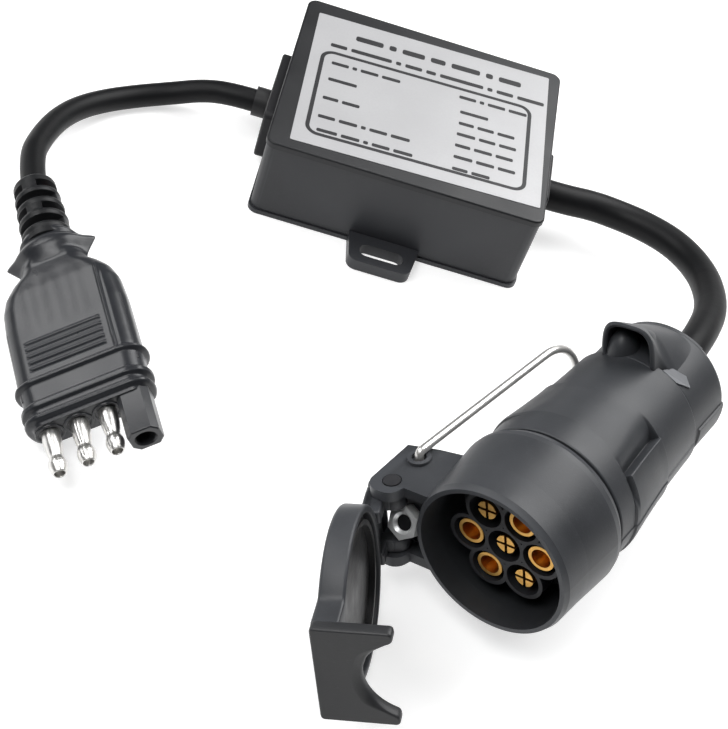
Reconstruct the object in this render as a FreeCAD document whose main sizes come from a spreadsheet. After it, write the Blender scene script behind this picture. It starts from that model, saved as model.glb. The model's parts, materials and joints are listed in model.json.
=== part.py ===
"""Trailer wiring adapter: converter box, flat four-way plug and round seven-way socket.

Millimetres, +Z up.  The origin is the centre of the flat underside of the converter box, +X runs
along the box towards the seven-way lead and +Y towards the back of the box.
The plug and the socket are each drawn about their own axis (local +Y points to the cable end)
and then placed where they lie.
"""
import FreeCAD, Part
import math
import os
import re

import Sketcher
from FreeCAD import Placement, Rotation, Vector

doc = FreeCAD.newDocument("TrailerWiringAdapter")
sheet = doc.addObject("Spreadsheet::Sheet", "Sizes")

DIMENSIONS = {
    # converter box
    "box_length": 80.0,
    "box_width": 69.0,
    "base_height": 25.0,
    "lid_thickness": 2.0,
    "wall": 2.0,
    "box_corner": 3.0,
    "label_length": 72.8,
    "label_width": 60.0,
    "label_thickness": 0.15,
    "tab_root": 21.0,
    "tab_reach": 11.2,
    "tab_thickness": 3.6,
    "lip_height": 1.4,
    "lip_reach": 0.5,
    "lid_overhang": 0.35,
    "slot_length": 13.0,
    "slot_width": 4.6,
    "plate_bottom": 3.0,
    "plate_height": 17.0,
    "left_plate_thickness": 3.2,
    "left_plate_width": 30.5,
    "right_plate_thickness": 2.8,
    "right_plate_width": 22.0,
    "board_length": 62.0,
    "board_width": 50.0,
    "board_thickness": 1.6,
    "post_height": 4.0,
    "post_radius": 2.5,
    "peg_radius": 1.2,
    # leads
    "lead_four_diameter": 6.8,
    "lead_seven_diameter": 9.0,
    "wire_radius": 0.9,
    # four-way plug
    "plug_half_width": 16.0,
    "plug_half_depth": 5.5,
    "contact_pitch": 7.25,
    "bullet_radius": 2.3,
    "bullet_reach": 12.0,
    "shroud_radius": 3.95,
    "shroud_reach": 11.5,
    "plug_length": 77.5,
    # seven-way socket
    "mouth_radius": 19.7,
    "mouth_bore": 18.0,
    "shell_radius": 21.7,
    "shell_length": 24.0,
    "seam_width": 1.2,
    "rear_radius": 20.2,
    "rear_end": 66.4,
    "cap_radius": 17.0,
    "cap_rim": 82.4,
    "hood_start": 64.0,
    "hood_half_width": 7.3,
    "hood_top": 27.6,
    "hood_wall": 1.4,
    "socket_length": 86.0,
    "contact_circle": 9.4,
    "recess_radius": 4.3,
    "lobe_radius": 5.3,
    "carrier_face": 6.5,
    "pin_radius": 2.4,
    "sleeve_radius": 3.35,
    "sleeve_bore": 2.5,
    "contact_face": 7.2,
    "contact_end": 33.0,
    # socket hinge, flip lid and bail
    "ear_outer": 11.3,
    "ear_thickness": 2.8,
    "hinge_pin_radius": 1.2,
    "pin_head_radius": 2.1,
    "boss_radius": 2.9,
    "boss_height": 0.8,
    "running_gap": 0.06,
    "knuckle_radius": 3.2,
    "lid_centre": 27.3,
    "lid_radius": 20.7,
    "lid_plate": 2.2,
    "lid_rim_depth": 6.0,
    "claw_reach": 52.2,
    "claw_half_width": 13.4,
    "claw_thickness": 3.0,
    "bail_wire_radius": 1.1,
}
for row, (alias, number) in enumerate(DIMENSIONS.items(), start=1):
    sheet.set(f"A{row}", alias)
    sheet.set(f"B{row}", str(number))
    sheet.setAlias(f"B{row}", alias)
doc.recompute()

LID_OPEN_ANGLE = 64.0
HINGE = Vector(-27.3, 1.9, 0.0)
BAIL_PIVOT = Vector(-26.3, 11.6, 0.0)
LID_FRONT = -8.5

UP = Vector(0, 0, 1)
ACROSS = Vector(1, 0, 0)
SOCKET = Placement(Vector(35.9, -154.8, 29.2), Rotation(UP, -28.8) * Rotation(Vector(0, 1, 0), -24))
PLUG = Placement(Vector(-60.15, -133.15, 13.3), Rotation(UP, 27) * Rotation(Vector(0, 1, 0), -28))
LID = SOCKET * Placement(HINGE, Rotation(UP, -LID_OPEN_ANGLE))
NUT = Placement(Vector(-24.3, 0.5, 0.6), Rotation(ACROSS, -25))
BOX = Placement()

ALONG = {
    "X": Rotation(Vector(0, 1, 0), 90),
    "Y": Rotation(Vector(1, 0, 0), -90),
    "Z": Rotation(),
}
nodes = {}


def formula(text):
    """Turns 'wall * 2' into an expression that reads the sheet."""
    return re.sub(r"[a-z][a-z_]*", r"Sizes.\g<0>", str(text))


def size(text):
    """The number, in millimetres, that a formula over the sheet gives now."""
    if isinstance(text, (int, float)):
        return float(text)
    return float(sheet.evalExpression(formula(text)))


def bind(feature, **formulas):
    for name, text in formulas.items():
        feature.setExpression(name, formula(text))
    return feature


def cylinder(name, radius, height, base=(0, 0, 0), along="Y"):
    """A cylinder that starts at base and runs along a local axis."""
    feature = bind(doc.addObject("Part::Cylinder", name), Radius=radius, Height=height)
    feature.Placement = Placement(Vector(*[size(value) for value in base]), ALONG[along])
    return feature


def cone(name, radius, end_radius, height, base=(0, 0, 0), along="Y"):
    feature = bind(doc.addObject("Part::Cone", name), Radius1=radius, Radius2=end_radius, Height=height)
    feature.Placement = Placement(Vector(*[size(value) for value in base]), ALONG[along])
    return feature


def block(name, length, width, height, centre, turn=Rotation()):
    """A box given by its three sizes and the place of its centre."""
    feature = bind(doc.addObject("Part::Box", name), Length=length, Width=width, Height=height)
    half = Vector(size(length) / 2, size(width) / 2, size(height) / 2)
    middle = Vector(*[size(value) for value in centre])
    feature.Placement = Placement(middle - turn.multVec(half), turn)
    return feature


def fuse(name, pieces):
    feature = doc.addObject("Part::MultiFuse", name)
    feature.Shapes = pieces
    feature.Refine = True
    return feature


def cut(name, base, tool):
    feature = doc.addObject("Part::Cut", name)
    feature.Base = base
    feature.Tool = tool
    feature.Refine = True
    return feature


def group(name, pieces):
    """Separate solids that share one node."""
    feature = doc.addObject("Part::Compound", name)
    feature.Links = pieces
    return feature


def node(name, feature, place=BOX):
    feature.Label = name
    feature.Placement = place * feature.Placement
    nodes[name] = feature
    return feature


def new_body(name):
    body = doc.addObject("PartDesign::Body", name + "_body")
    body.Label = name
    return body


def origin_plane(body, role):
    return next(item for item in body.Origin.OriginFeatures if item.Role == role)


def new_sketch(body, name, role="XY_Plane", lift=0.0):
    sketch = body.newObject("Sketcher::SketchObject", name)
    sketch.AttachmentSupport = [(origin_plane(body, role), "")]
    sketch.MapMode = "FlatFace"
    sketch.AttachmentOffset = Placement(Vector(0, 0, size(lift)), Rotation())
    return sketch


def tie(sketch, kind, *place, text):
    """Adds a dimension to a sketch and ties it to the sheet."""
    index = sketch.addConstraint(Sketcher.Constraint(kind, *place, size(text)))
    sketch.setExpression(f"Constraints[{index}]", formula(text))


def outline(sketch, corners):
    """A closed outline of straight lines, each corner given by two formulas."""
    places = [Vector(size(x), size(y), 0) for x, y in corners]
    first = sketch.GeometryCount
    count = len(places)
    for index, place in enumerate(places):
        sketch.addGeometry(Part.LineSegment(place, places[(index + 1) % count]))
    for index, (x, y) in enumerate(corners):
        following = first + (index + 1) % count
        sketch.addConstraint(Sketcher.Constraint("Coincident", first + index, 2, following, 1))
        tie(sketch, "DistanceX", -1, 1, first + index, 1, text=x)
        tie(sketch, "DistanceY", -1, 1, first + index, 1, text=y)


def rectangle(sketch, low_x, low_y, high_x, high_y):
    outline(sketch, [(low_x, low_y), (high_x, low_y), (high_x, high_y), (low_x, high_y)])


def circle(sketch, x, y, radius):
    index = sketch.addGeometry(Part.Circle(Vector(size(x), size(y), 0), Vector(0, 0, 1), size(radius)))
    tie(sketch, "DistanceX", -1, 1, index, 3, text=x)
    tie(sketch, "DistanceY", -1, 1, index, 3, text=y)
    tie(sketch, "Radius", index, text=radius)


def slot(sketch, x, y, length, width):
    """A round-ended slot along the sketch's X axis."""
    radius = size(width) / 2
    reach = (size(length) - size(width)) / 2
    left = Vector(size(x) - reach, size(y), 0)
    right = Vector(size(x) + reach, size(y), 0)
    up = Vector(0, radius, 0)
    first = sketch.GeometryCount
    sketch.addGeometry(Part.LineSegment(left - up, right - up))
    right_round = Part.Circle(right, Vector(0, 0, 1), radius)
    sketch.addGeometry(Part.ArcOfCircle(right_round, -math.pi / 2, math.pi / 2))
    sketch.addGeometry(Part.LineSegment(right + up, left + up))
    left_round = Part.Circle(left, Vector(0, 0, 1), radius)
    sketch.addGeometry(Part.ArcOfCircle(left_round, math.pi / 2, math.pi * 3 / 2))
    for index in range(4):
        following = first + (index + 1) % 4
        sketch.addConstraint(Sketcher.Constraint("Tangent", first + index, 2, following, 1))
    for arc, sign in ((first + 1, "+"), (first + 3, "-")):
        tie(sketch, "DistanceX", -1, 1, arc, 3, text=f"{x} {sign} ({length} - {width}) / 2")
        tie(sketch, "DistanceY", -1, 1, arc, 3, text=y)
    tie(sketch, "Radius", first + 1, text=f"{width} / 2")
    sketch.addConstraint(Sketcher.Constraint("Equal", first + 1, first + 3))


def pad(body, sketch, length, midplane=False, back=False):
    feature = body.newObject("PartDesign::Pad", sketch.Name + "_pad")
    feature.Profile = sketch
    bind(feature, Length=length)
    feature.Midplane = midplane
    feature.Reversed = back
    return feature


def pocket(body, sketch, length, midplane=False, back=False):
    feature = body.newObject("PartDesign::Pocket", sketch.Name + "_pocket")
    feature.Profile = sketch
    bind(feature, Length=length)
    feature.Midplane = midplane
    feature.Reversed = back
    return feature


def revolve(body, sketch):
    """Turns a profile (x is the radius, y the length) about the local Y axis."""
    feature = body.newObject("PartDesign::Revolution", sketch.Name + "_turned")
    feature.Profile = sketch
    feature.ReferenceAxis = (sketch, ["V_Axis"])
    feature.Angle = 360
    return feature


def round_edges(body, radius, chosen):
    """Rounds the edges of the body's last feature that the test picks."""
    doc.recompute()
    base = body.Tip
    names = [f"Edge{number}" for number, edge in enumerate(base.Shape.Edges, start=1) if chosen(edge)]
    feature = body.newObject("PartDesign::Fillet", base.Name + "_rounded")
    feature.Base = (base, names)
    bind(feature, Radius=radius)
    return feature


def is_along(edge, axis):
    """True for a straight edge that runs along the given direction."""
    if edge.Curve.TypeId != "Part::GeomLine":
        return False
    return abs(edge.Curve.Direction.dot(axis)) > 0.999


def route_wire(points, radii=None):
    """Straight runs joined by tangent arcs.  Without radii, each arc is as large as its runs allow."""
    edges = []
    start = points[0]
    sizes = []
    for index in range(1, len(points) - 1):
        corner = points[index]
        back = (points[index - 1] - corner).normalize()
        ahead = (points[index + 1] - corner).normalize()
        turn = math.pi - back.getAngle(ahead)
        shorter = min((points[index - 1] - corner).Length, (points[index + 1] - corner).Length)
        radius = 0.45 * shorter / math.tan(turn / 2) if radii is None else radii[index - 1]
        tangent = radius * math.tan(turn / 2)
        arc_start = corner + back * tangent
        arc_end = corner + ahead * tangent
        inward = (back + ahead).normalize()
        middle = corner + inward * (radius / math.cos(turn / 2) - radius)
        edges.append(Part.LineSegment(start, arc_start).toShape())
        edges.append(Part.Arc(arc_start, middle, arc_end).toShape())
        start = arc_end
        sizes.append(radius)
    edges.append(Part.LineSegment(start, points[-1]).toShape())
    return Part.Wire(edges), sizes


def tube(points, radius, radii=None):
    path, sizes = route_wire(points, radii)
    heading = points[1] - points[0]
    section = Part.Wire([Part.makeCircle(radius, points[0], heading)])
    solid = path.makePipeShell([section], True, True)
    expected = math.pi * radius**2 * path.Length
    if abs(solid.Volume / expected - 1) > 0.01:
        raise ValueError("a tube's volume is not its section times its length")
    return solid, path.Length, sizes


def shaped(name, shape, place=BOX):
    """A sub-part whose shape comes from a route or a formula."""
    feature = doc.addObject("Part::Feature", name)
    feature.Shape = shape
    return node(name, feature, place)


# ---------------------------------------------------------------- converter box

LEAD_FOUR_HEIGHT = 11.0
LEAD_FOUR_ACROSS = -0.2
LEAD_SEVEN_HEIGHT = 12.3
LEAD_SEVEN_ACROSS = -4.0
LEFT_PLATE_BACK = 15.0
RIGHT_PLATE_BACK = 6.5
POSTS = [(x, y) for x in (-27, 27) for y in (-21, 21)]


def make_box_base():
    body = new_body("box_base")
    footprint = new_sketch(body, "base_footprint")
    rectangle(footprint, "-box_length / 2", "-box_width / 2", "box_length / 2", "box_width / 2")
    pad(body, footprint, "base_height")
    lip = new_sketch(body, "base_lip")
    rectangle(lip, "-box_length / 2 - lip_reach", "-box_width / 2 - lip_reach",
              "box_length / 2 + lip_reach", "box_width / 2 + lip_reach")
    pad(body, lip, "lip_height")
    round_edges(body, "box_corner", lambda edge: is_along(edge, UP))
    inside = new_sketch(body, "base_inside", lift="base_height")
    rectangle(inside, "wall - box_length / 2", "wall - box_width / 2",
              "box_length / 2 - wall", "box_width / 2 - wall")
    pocket(body, inside, "base_height - wall")
    for side, label in ((-1, "front"), (1, "back")):
        tab = new_sketch(body, f"{label}_tab")
        outline(tab, [("-tab_root / 2", f"{side} * (box_width / 2 - wall / 2)"),
                      ("-tab_root / 2", f"{side} * box_width / 2"),
                      ("-tab_root / 2 + 1.6", f"{side} * (box_width / 2 + tab_reach)"),
                      ("tab_root / 2 - 1.6", f"{side} * (box_width / 2 + tab_reach)"),
                      ("tab_root / 2", f"{side} * box_width / 2"),
                      ("tab_root / 2", f"{side} * (box_width / 2 - wall / 2)")])
        pad(body, tab, "tab_thickness")
    tip = size("box_width / 2 + tab_reach")
    round_edges(body, "box_corner", lambda edge: is_along(edge, UP)
                and abs(abs(edge.CenterOfMass.y) - tip) < 0.1)
    for side, label in ((-1, "front"), (1, "back")):
        hole = new_sketch(body, f"{label}_slot", lift="tab_thickness")
        slot(hole, "0", f"{side} * (box_width / 2 + 6)", "slot_length", "slot_width")
        pocket(body, hole, "tab_thickness")
    cable_hole = new_sketch(body, "left_cable_hole", "YZ_Plane", "-box_length / 2 - 1")
    circle(cable_hole, LEAD_FOUR_ACROSS, LEAD_FOUR_HEIGHT, "lead_four_diameter / 2 + 0.9")
    pocket(body, cable_hole, "wall + 2", back=True)
    cable_hole = new_sketch(body, "right_cable_hole", "YZ_Plane", "box_length / 2 + 1")
    circle(cable_hole, LEAD_SEVEN_ACROSS, LEAD_SEVEN_HEIGHT, "lead_seven_diameter / 2 - 0.6")
    pocket(body, cable_hole, "wall + 2")
    posts = new_sketch(body, "posts", lift="wall / 2")
    pegs = new_sketch(body, "pegs", lift="wall / 2")
    for x, y in POSTS:
        circle(posts, x, y, "post_radius")
        circle(pegs, x, y, "peg_radius")
    pad(body, posts, "wall / 2 + post_height")
    pad(body, pegs, "wall / 2 + post_height + board_thickness + 1")
    return node("box_base", body)


def make_box_lid():
    body = new_body("box_lid")
    plate = new_sketch(body, "lid_outline", lift="base_height")
    rectangle(plate, "-box_length / 2 - lid_overhang", "-box_width / 2 - lid_overhang",
              "box_length / 2 + lid_overhang", "box_width / 2 + lid_overhang")
    pad(body, plate, "lid_thickness")
    round_edges(body, "box_corner", lambda edge: is_along(edge, UP))
    top = size("base_height + lid_thickness")
    round_edges(body, "0.6", lambda edge: edge.BoundBox.ZMin > top - 0.01)
    rim = new_sketch(body, "lid_rim", lift="base_height")
    rectangle(rim, "wall + 0.2 - box_length / 2", "wall + 0.2 - box_width / 2",
              "box_length / 2 - wall - 0.2", "box_width / 2 - wall - 0.2")
    rectangle(rim, "wall + 1.7 - box_length / 2", "wall + 1.7 - box_width / 2",
              "box_length / 2 - wall - 1.7", "box_width / 2 - wall - 1.7")
    pad(body, rim, "1.5", back=True)
    return node("box_lid", body)


def make_box_label():
    body = new_body("box_label")
    sheet_outline = new_sketch(body, "label_outline")
    rectangle(sheet_outline, "-label_length / 2", "-label_width / 2", "label_length / 2", "label_width / 2")
    pad(body, sheet_outline, "label_thickness")
    round_edges(body, "0.5", lambda edge: is_along(edge, UP))
    top = Vector(1.2, 0, size("base_height + lid_thickness"))
    return node("box_label", body, Placement(top, Rotation(UP, 2.0)))


def make_cable_plate(name, side, back_edge, width, thickness, across, height, step, narrow, wide):
    """A plate on an end of the box that carries a lead, with a stepped hole for its sheath."""
    body = new_body(name)
    face = "box_length / 2"
    outline_sketch = new_sketch(body, name + "_outline", "YZ_Plane", f"{side} * {face}")
    rectangle(outline_sketch, f"{back_edge} - {width}", "plate_bottom",
              back_edge, "plate_bottom + plate_height")
    pad(body, outline_sketch, thickness, back=side < 0)
    round_edges(body, "2", lambda edge: is_along(edge, ACROSS))
    outer = size(f"{side} * ({face} + {thickness})")
    round_edges(body, "0.8", lambda edge: abs(edge.CenterOfMass.x - outer) < 0.05)
    for label, radius, depth in (("wires", narrow, thickness), ("sheath", wide, f"{thickness} - {step}")):
        hole = new_sketch(body, f"{name}_{label}", "YZ_Plane", f"{side} * ({face} + {thickness})")
        circle(hole, across, height, radius)
        pocket(body, hole, depth, back=side < 0)
    return node(name, body)


def make_left_grommet():
    """A moulded collar on the lead, held in the wall and the plate by its neck and inner flange."""
    plate_face = "-(box_length / 2 + left_plate_thickness)"
    at = (LEAD_FOUR_ACROSS, LEAD_FOUR_HEIGHT)
    collar = cylinder("collar", 4.4, 4.2, (f"{plate_face} - 4.2", *at), "X")
    neck = cylinder("neck", 4.2, "left_plate_thickness + wall", (plate_face, *at), "X")
    flange = cylinder("inner_flange", 5.2, 1.2, ("wall - box_length / 2", *at), "X")
    outer_end = (f"{plate_face} - 4.2", *at)
    sheath = cylinder("sheath_socket", "lead_four_diameter / 2 + 0.05", 1.4, outer_end, "X")
    passage = cylinder("wire_passage", 2.9, 12, outer_end, "X")
    solid = fuse("grommet_solid", [collar, neck, flange])
    hollow = fuse("grommet_hollow", [sheath, passage])
    return node("left_grommet", cut("left_grommet_cut", solid, hollow))


def make_electronics():
    deck = "wall + post_height + board_thickness"
    board = block("board_plate", "board_length", "board_width", "board_thickness",
                  (0, 0, "wall + post_height + board_thickness / 2"))
    holes = [cylinder("peg_hole", "peg_radius + 0.1", 6, (x, y, "wall + post_height - 2"), "Z")
             for x, y in POSTS]
    node("circuit_board", cut("circuit_board_cut", board, fuse("peg_holes", holes)))
    transistors = [block("transistor", 10, 4.6, 14, (x, 12, f"{deck} + 7")) for x in (-18, -6, 6, 18)]
    node("output_transistors", group("output_transistors_set", transistors))
    cans = [cylinder("capacitor", 4, 11, (x, -14, deck), "Z") for x in (-16, -5)]
    node("capacitors", group("capacitors_set", cans))
    rods = [cylinder("resistor", 1.2, 6.5, (6, y, f"{deck} + 1.2"), "X") for y in (-18, -14, -10, -6)]
    node("resistors", group("resistors_set", rods))


def make_board_wires(name, side, start, offsets, spread):
    """Wires that leave the end of a lead's sheath and drop onto the board."""
    deck = size("wall + post_height + board_thickness")
    radius = size("wire_radius")
    wires = []
    for index, (across, up) in enumerate(offsets):
        target = (index - (len(offsets) - 1) / 2) * spread
        first = start + Vector(0, across, up)
        wires.append(tube([
            first,
            Vector(side * 35, first.y, first.z),
            Vector(side * 28.5, target, first.z + 2),
            Vector(side * 28.5, target, deck),
        ], radius, [3.0, 2.0])[0])
    shaped(name, Part.Compound(wires))


# ---------------------------------------------------------------- leads

LEAD_FOUR_ROUTE = [
    (-46.0, -0.2, 11.0),
    (-53.5, -0.2, 11.0),
    (-62.2, 0.9, 8.4),
    (-71.6, -0.5, 4.7),
    (-80.4, -4.7, 3.6),
    (-88.5, -11.2, 4.0),
    (-94.7, -19.7, 5.7),
    (-98.4, -29.7, 7.8),
    (-99.9, -41.5, 10.2),
    (-99.7, -52.6, 12.4),
    (-95.3, -64.1, 13.3),
]
LEAD_SEVEN_ROUTE = [
    (41.0, -4.0, 12.3),
    (49.0, -4.0, 12.3),
    (58.1, -2.3, 11.9),
    (66.5, -3.0, 11.9),
    (74.4, -5.7, 13.0),
    (82.5, -11.4, 15.0),
    (88.4, -19.7, 17.1),
    (91.6, -31.1, 20.3),
    (91.2, -46.2, 24.5),
    (86.6, -60.4, 27.8),
    (82.1, -70.7, 29.2),
    (75.9, -82.1, 29.2),
]


def make_lead(name, route, diameter):
    points = [Vector(*point) for point in route]
    solid, length, sizes = tube(points, size(f"{diameter} / 2"))
    print(name, "length", round(length, 1), "bend radii", [round(value, 1) for value in sizes])
    shaped(name, solid)


# ---------------------------------------------------------------- four-way plug

PLUG_OUTLINE = [
    (14.2, 0.0),
    (14.2, 2.8),
    (16.2, 2.8),
    (16.0, 15.0),
    (15.2, 37.0),
    (13.9, 41.5),
    (11.3, 45.0),
    (10.8, 46.8),
    (12.4, 50.5),
    (12.0, 53.6),
    (6.2, 57.0),
]
PLUG_RIBS = (2.8, 6.2, 12.9)
BOOT_START = 55.0


def contact_across(number):
    return f"contact_pitch * ({number} - 1.5)"


def make_plug_body():
    right = PLUG_OUTLINE
    left = [(-x, y) for x, y in reversed(PLUG_OUTLINE)]
    body = new_body("plug_moulding")
    flat = new_sketch(body, "plug_outline")
    outline(flat, right + left)
    pad(body, flat, "plug_half_depth * 2", midplane=True)
    round_edges(body, "2.5", lambda edge: edge.CenterOfMass.y > 3.5
                and abs(abs(edge.CenterOfMass.z) - size("plug_half_depth")) < 0.01)
    ribs = [block("rib", 34.2, 1.3, 11.8, (0, y + 0.65, 0)) for y in PLUG_RIBS]
    boot = cone("boot", 6.1, 5.8, f"plug_length - {BOOT_START}", (0, BOOT_START, 0))
    shroud = cylinder("shroud", "shroud_radius", "shroud_reach + 3", (contact_across(3), "-shroud_reach", 0))
    solid = fuse("plug_solid", [body, boot, shroud] + ribs)
    core_space = plug_core_shape("core_space")
    wire_space = [cylinder("wire_space", "wire_radius", 46, (x, 30, 0)) for x in (-3, -1, 1, 3)]
    bullets = [cylinder("bullet_space", 1.6, 12, (contact_across(number), -1, 0)) for number in range(3)]
    bore = cylinder("shroud_bore", 2.0, 22, (contact_across(3), "-shroud_reach", 0))
    hollow = fuse("plug_hollow", [core_space, bore] + wire_space + bullets)
    return node("plug_body", cut("plug_body_cut", solid, hollow), PLUG)


def plug_core_shape(name):
    return block(name, 30, 21, 7, (0, 19.5, 0))


def make_plug_inside():
    core = plug_core_shape("core_block")
    seats = [cylinder("terminal_seat", 1.6, 16, (contact_across(number), 8, 0)) for number in range(3)]
    seats.append(cylinder("sleeve_seat", 1.95, 16, (contact_across(3), 8, 0)))
    node("plug_core", cut("plug_core_cut", core, fuse("terminal_seats", seats)), PLUG)
    wires = [cylinder("plug_wire", "wire_radius", 46, (x, 30, 0)) for x in (-3, -1, 1, 3)]
    node("plug_wires", group("plug_wires_set", wires), PLUG)


def make_bullet(number):
    """A bullet terminal: barrel, waist and a hollow crimped tip, with a thin tail in the core."""
    x = contact_across(number)
    tail = cylinder("bullet_tail", 1.6, 24, (x, 0, 0))
    barrel = cylinder("bullet_barrel", "bullet_radius", "bullet_reach * 0.5",
                      (x, "-bullet_reach * 0.5", 0))
    waist = cylinder("bullet_waist", "bullet_radius - 0.5", "bullet_reach * 0.12",
                     (x, "-bullet_reach * 0.62", 0))
    head = cylinder("bullet_head", "bullet_radius", "bullet_reach * 0.2",
                    (x, "-bullet_reach * 0.82", 0))
    tip = cone("bullet_tip", "bullet_radius - 0.7", "bullet_radius", "bullet_reach * 0.18",
               (x, "-bullet_reach", 0))
    hole = cylinder("bullet_hole", 0.9, 6, (x, "-bullet_reach", 0))
    solid = fuse(f"bullet_solid_{number}", [tail, barrel, waist, head, tip])
    node(f"bullet_terminal_{number + 1}", cut(f"bullet_cut_{number}", solid, hole), PLUG)


def make_sleeve_terminal():
    x = contact_across(3)
    sleeve = cylinder("female_sleeve", 1.95, 32, (x, -8, 0))
    bore = cylinder("female_bore", 1.5, 14, (x, -8, 0))
    node("sleeve_terminal", cut("sleeve_terminal_cut", sleeve, bore), PLUG)


# ---------------------------------------------------------------- seven-way socket

SEAM = "shell_length"
REAR_START = "shell_length + seam_width"
CARRIER_BACK = 20.0
SEAT_BORE = 16.5
SLEEVE_ANGLES = (60, 0, -120, 180)
PIN_ANGLES = {"upper": 120, "lower": -60}
EAR_OUTLINE = [
    (-14.0, 1.0),
    (-23.4, 1.0),
    (-24.5, -2.8),
    (-32.2, -2.8),
    (-31.9, 14.9),
    (-24.2, 17.1),
    (-14.0, 18.9),
]
KNUCKLE_BOTTOM = -2.8


def make_front_shell():
    body = new_body("front_shell")
    profile = new_sketch(body, "front_profile")
    outline(profile, [(0, 0), ("mouth_radius", 0), ("mouth_radius + 0.6", 1.6), ("mouth_radius + 1", 9),
                      ("shell_radius - 0.3", 17), ("shell_radius", 20.5), ("shell_radius - 0.2", 22.2),
                      ("shell_radius - 1.2", SEAM), (0, SEAM)])
    revolve(body, profile)
    for side, label in ((1, "upper"), (-1, "lower")):
        lift = "ear_outer - ear_thickness" if side > 0 else "-ear_outer"
        ear = new_sketch(body, f"{label}_ear", lift=lift)
        outline(ear, EAR_OUTLINE)
        pad(body, ear, "ear_thickness")
    round_edges(body, "3.6", lambda edge: is_along(edge, UP)
                and abs(edge.CenterOfMass.y - KNUCKLE_BOTTOM) < 0.01)
    for side, label in ((1, "upper"), (-1, "lower")):
        boss = new_sketch(body, f"{label}_boss", lift=f"{side} * (ear_outer - 0.5)")
        circle(boss, BAIL_PIVOT.x, BAIL_PIVOT.y, "boss_radius")
        pad(body, boss, "boss_height + 0.5", back=side < 0)
    web = new_sketch(body, "web")
    outline(web, [(-14, 5.4), (-29.5, 5.4), (-29.5, 13), (-24, 16.0), (-14, 16.5)])
    pad(body, web, "(ear_outer - ear_thickness) * 2 + 1", midplane=True)
    seat = new_sketch(body, "seat_bore", "XZ_Plane", "1")
    circle(seat, 0, 0, SEAT_BORE)
    pocket(body, seat, "shell_length + 2")
    bore = new_sketch(body, "mouth_bore_circle", "XZ_Plane", "1")
    circle(bore, 0, 0, "mouth_bore")
    pocket(body, bore, f"{CARRIER_BACK} + 1")
    for label, place, radius in (("hinge_hole", HINGE, "hinge_pin_radius + running_gap"),
                                 ("bail_hole", BAIL_PIVOT, "bail_wire_radius + running_gap")):
        hole = new_sketch(body, label)
        circle(hole, place.x, place.y, radius)
        pocket(body, hole, "ear_outer * 3", midplane=True)
    for side, label in ((1, "upper"), (-1, "lower")):
        wide = new_sketch(body, f"{label}_boss_recess", lift=f"{side} * (ear_outer + boss_height)")
        circle(wide, BAIL_PIVOT.x, BAIL_PIVOT.y, "bail_wire_radius + 0.7")
        pocket(body, wide, "boss_height + 0.3", back=side < 0)
        seat = new_sketch(body, f"{label}_pin_recess", lift=f"{side} * ear_outer")
        circle(seat, HINGE.x, HINGE.y, "pin_head_radius + 0.25")
        pocket(body, seat, "0.5", back=side < 0)
    nut_seat = cylinder("nut_seat", 3.0, 5, (0, 3.2, 0))
    nut_seat.Placement = NUT * nut_seat.Placement
    screw_hole = cylinder("screw_hole", 2.06, 12, (0, 1.6, 0))
    screw_hole.Placement = NUT * screw_hole.Placement
    lead_in = cone("mouth_lead_in", "mouth_radius - 1.1", "mouth_bore", 6, (0, -0.001, 0))
    solid = fuse("shell_solid", [body, nut_seat])
    hollow = fuse("shell_hollow", [screw_hole, lead_in])
    return node("front_shell", cut("front_shell_cut", solid, hollow), SOCKET)


def around(angle, radius="contact_circle"):
    reach = size(radius)
    return reach * math.cos(math.radians(angle)), reach * math.sin(math.radians(angle))


def contact_places():
    """Name, radius and place of the seven contacts."""
    places = [("contact_pin_centre", "pin_radius", 0.0, 0.0)]
    for label, angle in PIN_ANGLES.items():
        places.append((f"contact_pin_{label}", "pin_radius", *around(angle)))
    for number, angle in enumerate(SLEEVE_ANGLES, start=1):
        places.append((f"contact_sleeve_{number}", "sleeve_radius", *around(angle)))
    return places


def make_contact_carrier():
    solids = [cylinder("carrier_flange", "mouth_bore - 0.1", 3, (0, CARRIER_BACK - 3, 0))]
    hollows = []
    for label, radius, x, z in contact_places():
        solids.append(cylinder("lobe", "lobe_radius", "22 - carrier_face", (x, "carrier_face", z)))
        hollows.append(cylinder("recess", "recess_radius", 6, (x, "carrier_face", z)))
        hollows.append(cylinder("contact_hole", radius, 20, (x, "carrier_face", z)))
    carrier = cut("carrier_cut", fuse("carrier_solid", solids), fuse("carrier_hollow", hollows))
    node("contact_carrier", carrier, SOCKET)


def make_contacts():
    """Split pins and open sleeves, each with a wire hole and a screw hole in its tail."""
    screws = []
    for label, radius, x, z in contact_places():
        rod = cylinder("rod", radius, "contact_end - contact_face", (x, "contact_face", z))
        wire_hole = cylinder("wire_hole", "wire_radius", 5, (x, "contact_end - 5", z))
        screw_base = (x, "contact_end - 3", z)
        screw_hole = cylinder("screw_hole", 1.0, 4.2, screw_base, "Z")
        hollows = [wire_hole, screw_hole]
        if "sleeve" in label:
            hollows.append(cylinder("sleeve_bore", "sleeve_bore", 16, (x, "contact_face", z)))
        else:
            hollows.append(block("split", 0.7, 9, 6, (x, "contact_face + 4.5", z)))
            hollows.append(block("cross_split", 6, 9, 0.7, (x, "contact_face + 4.5", z)))
        node(label, cut(label + "_cut", rod, fuse(label + "_hollow", hollows)), SOCKET)
        screws.append(cylinder("terminal_screw", 1.0, 2.9,
                               (x, "contact_end - 3", z + size("wire_radius")), "Z"))
    node("terminal_screws", group("terminal_screws_set", screws), SOCKET)


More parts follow.
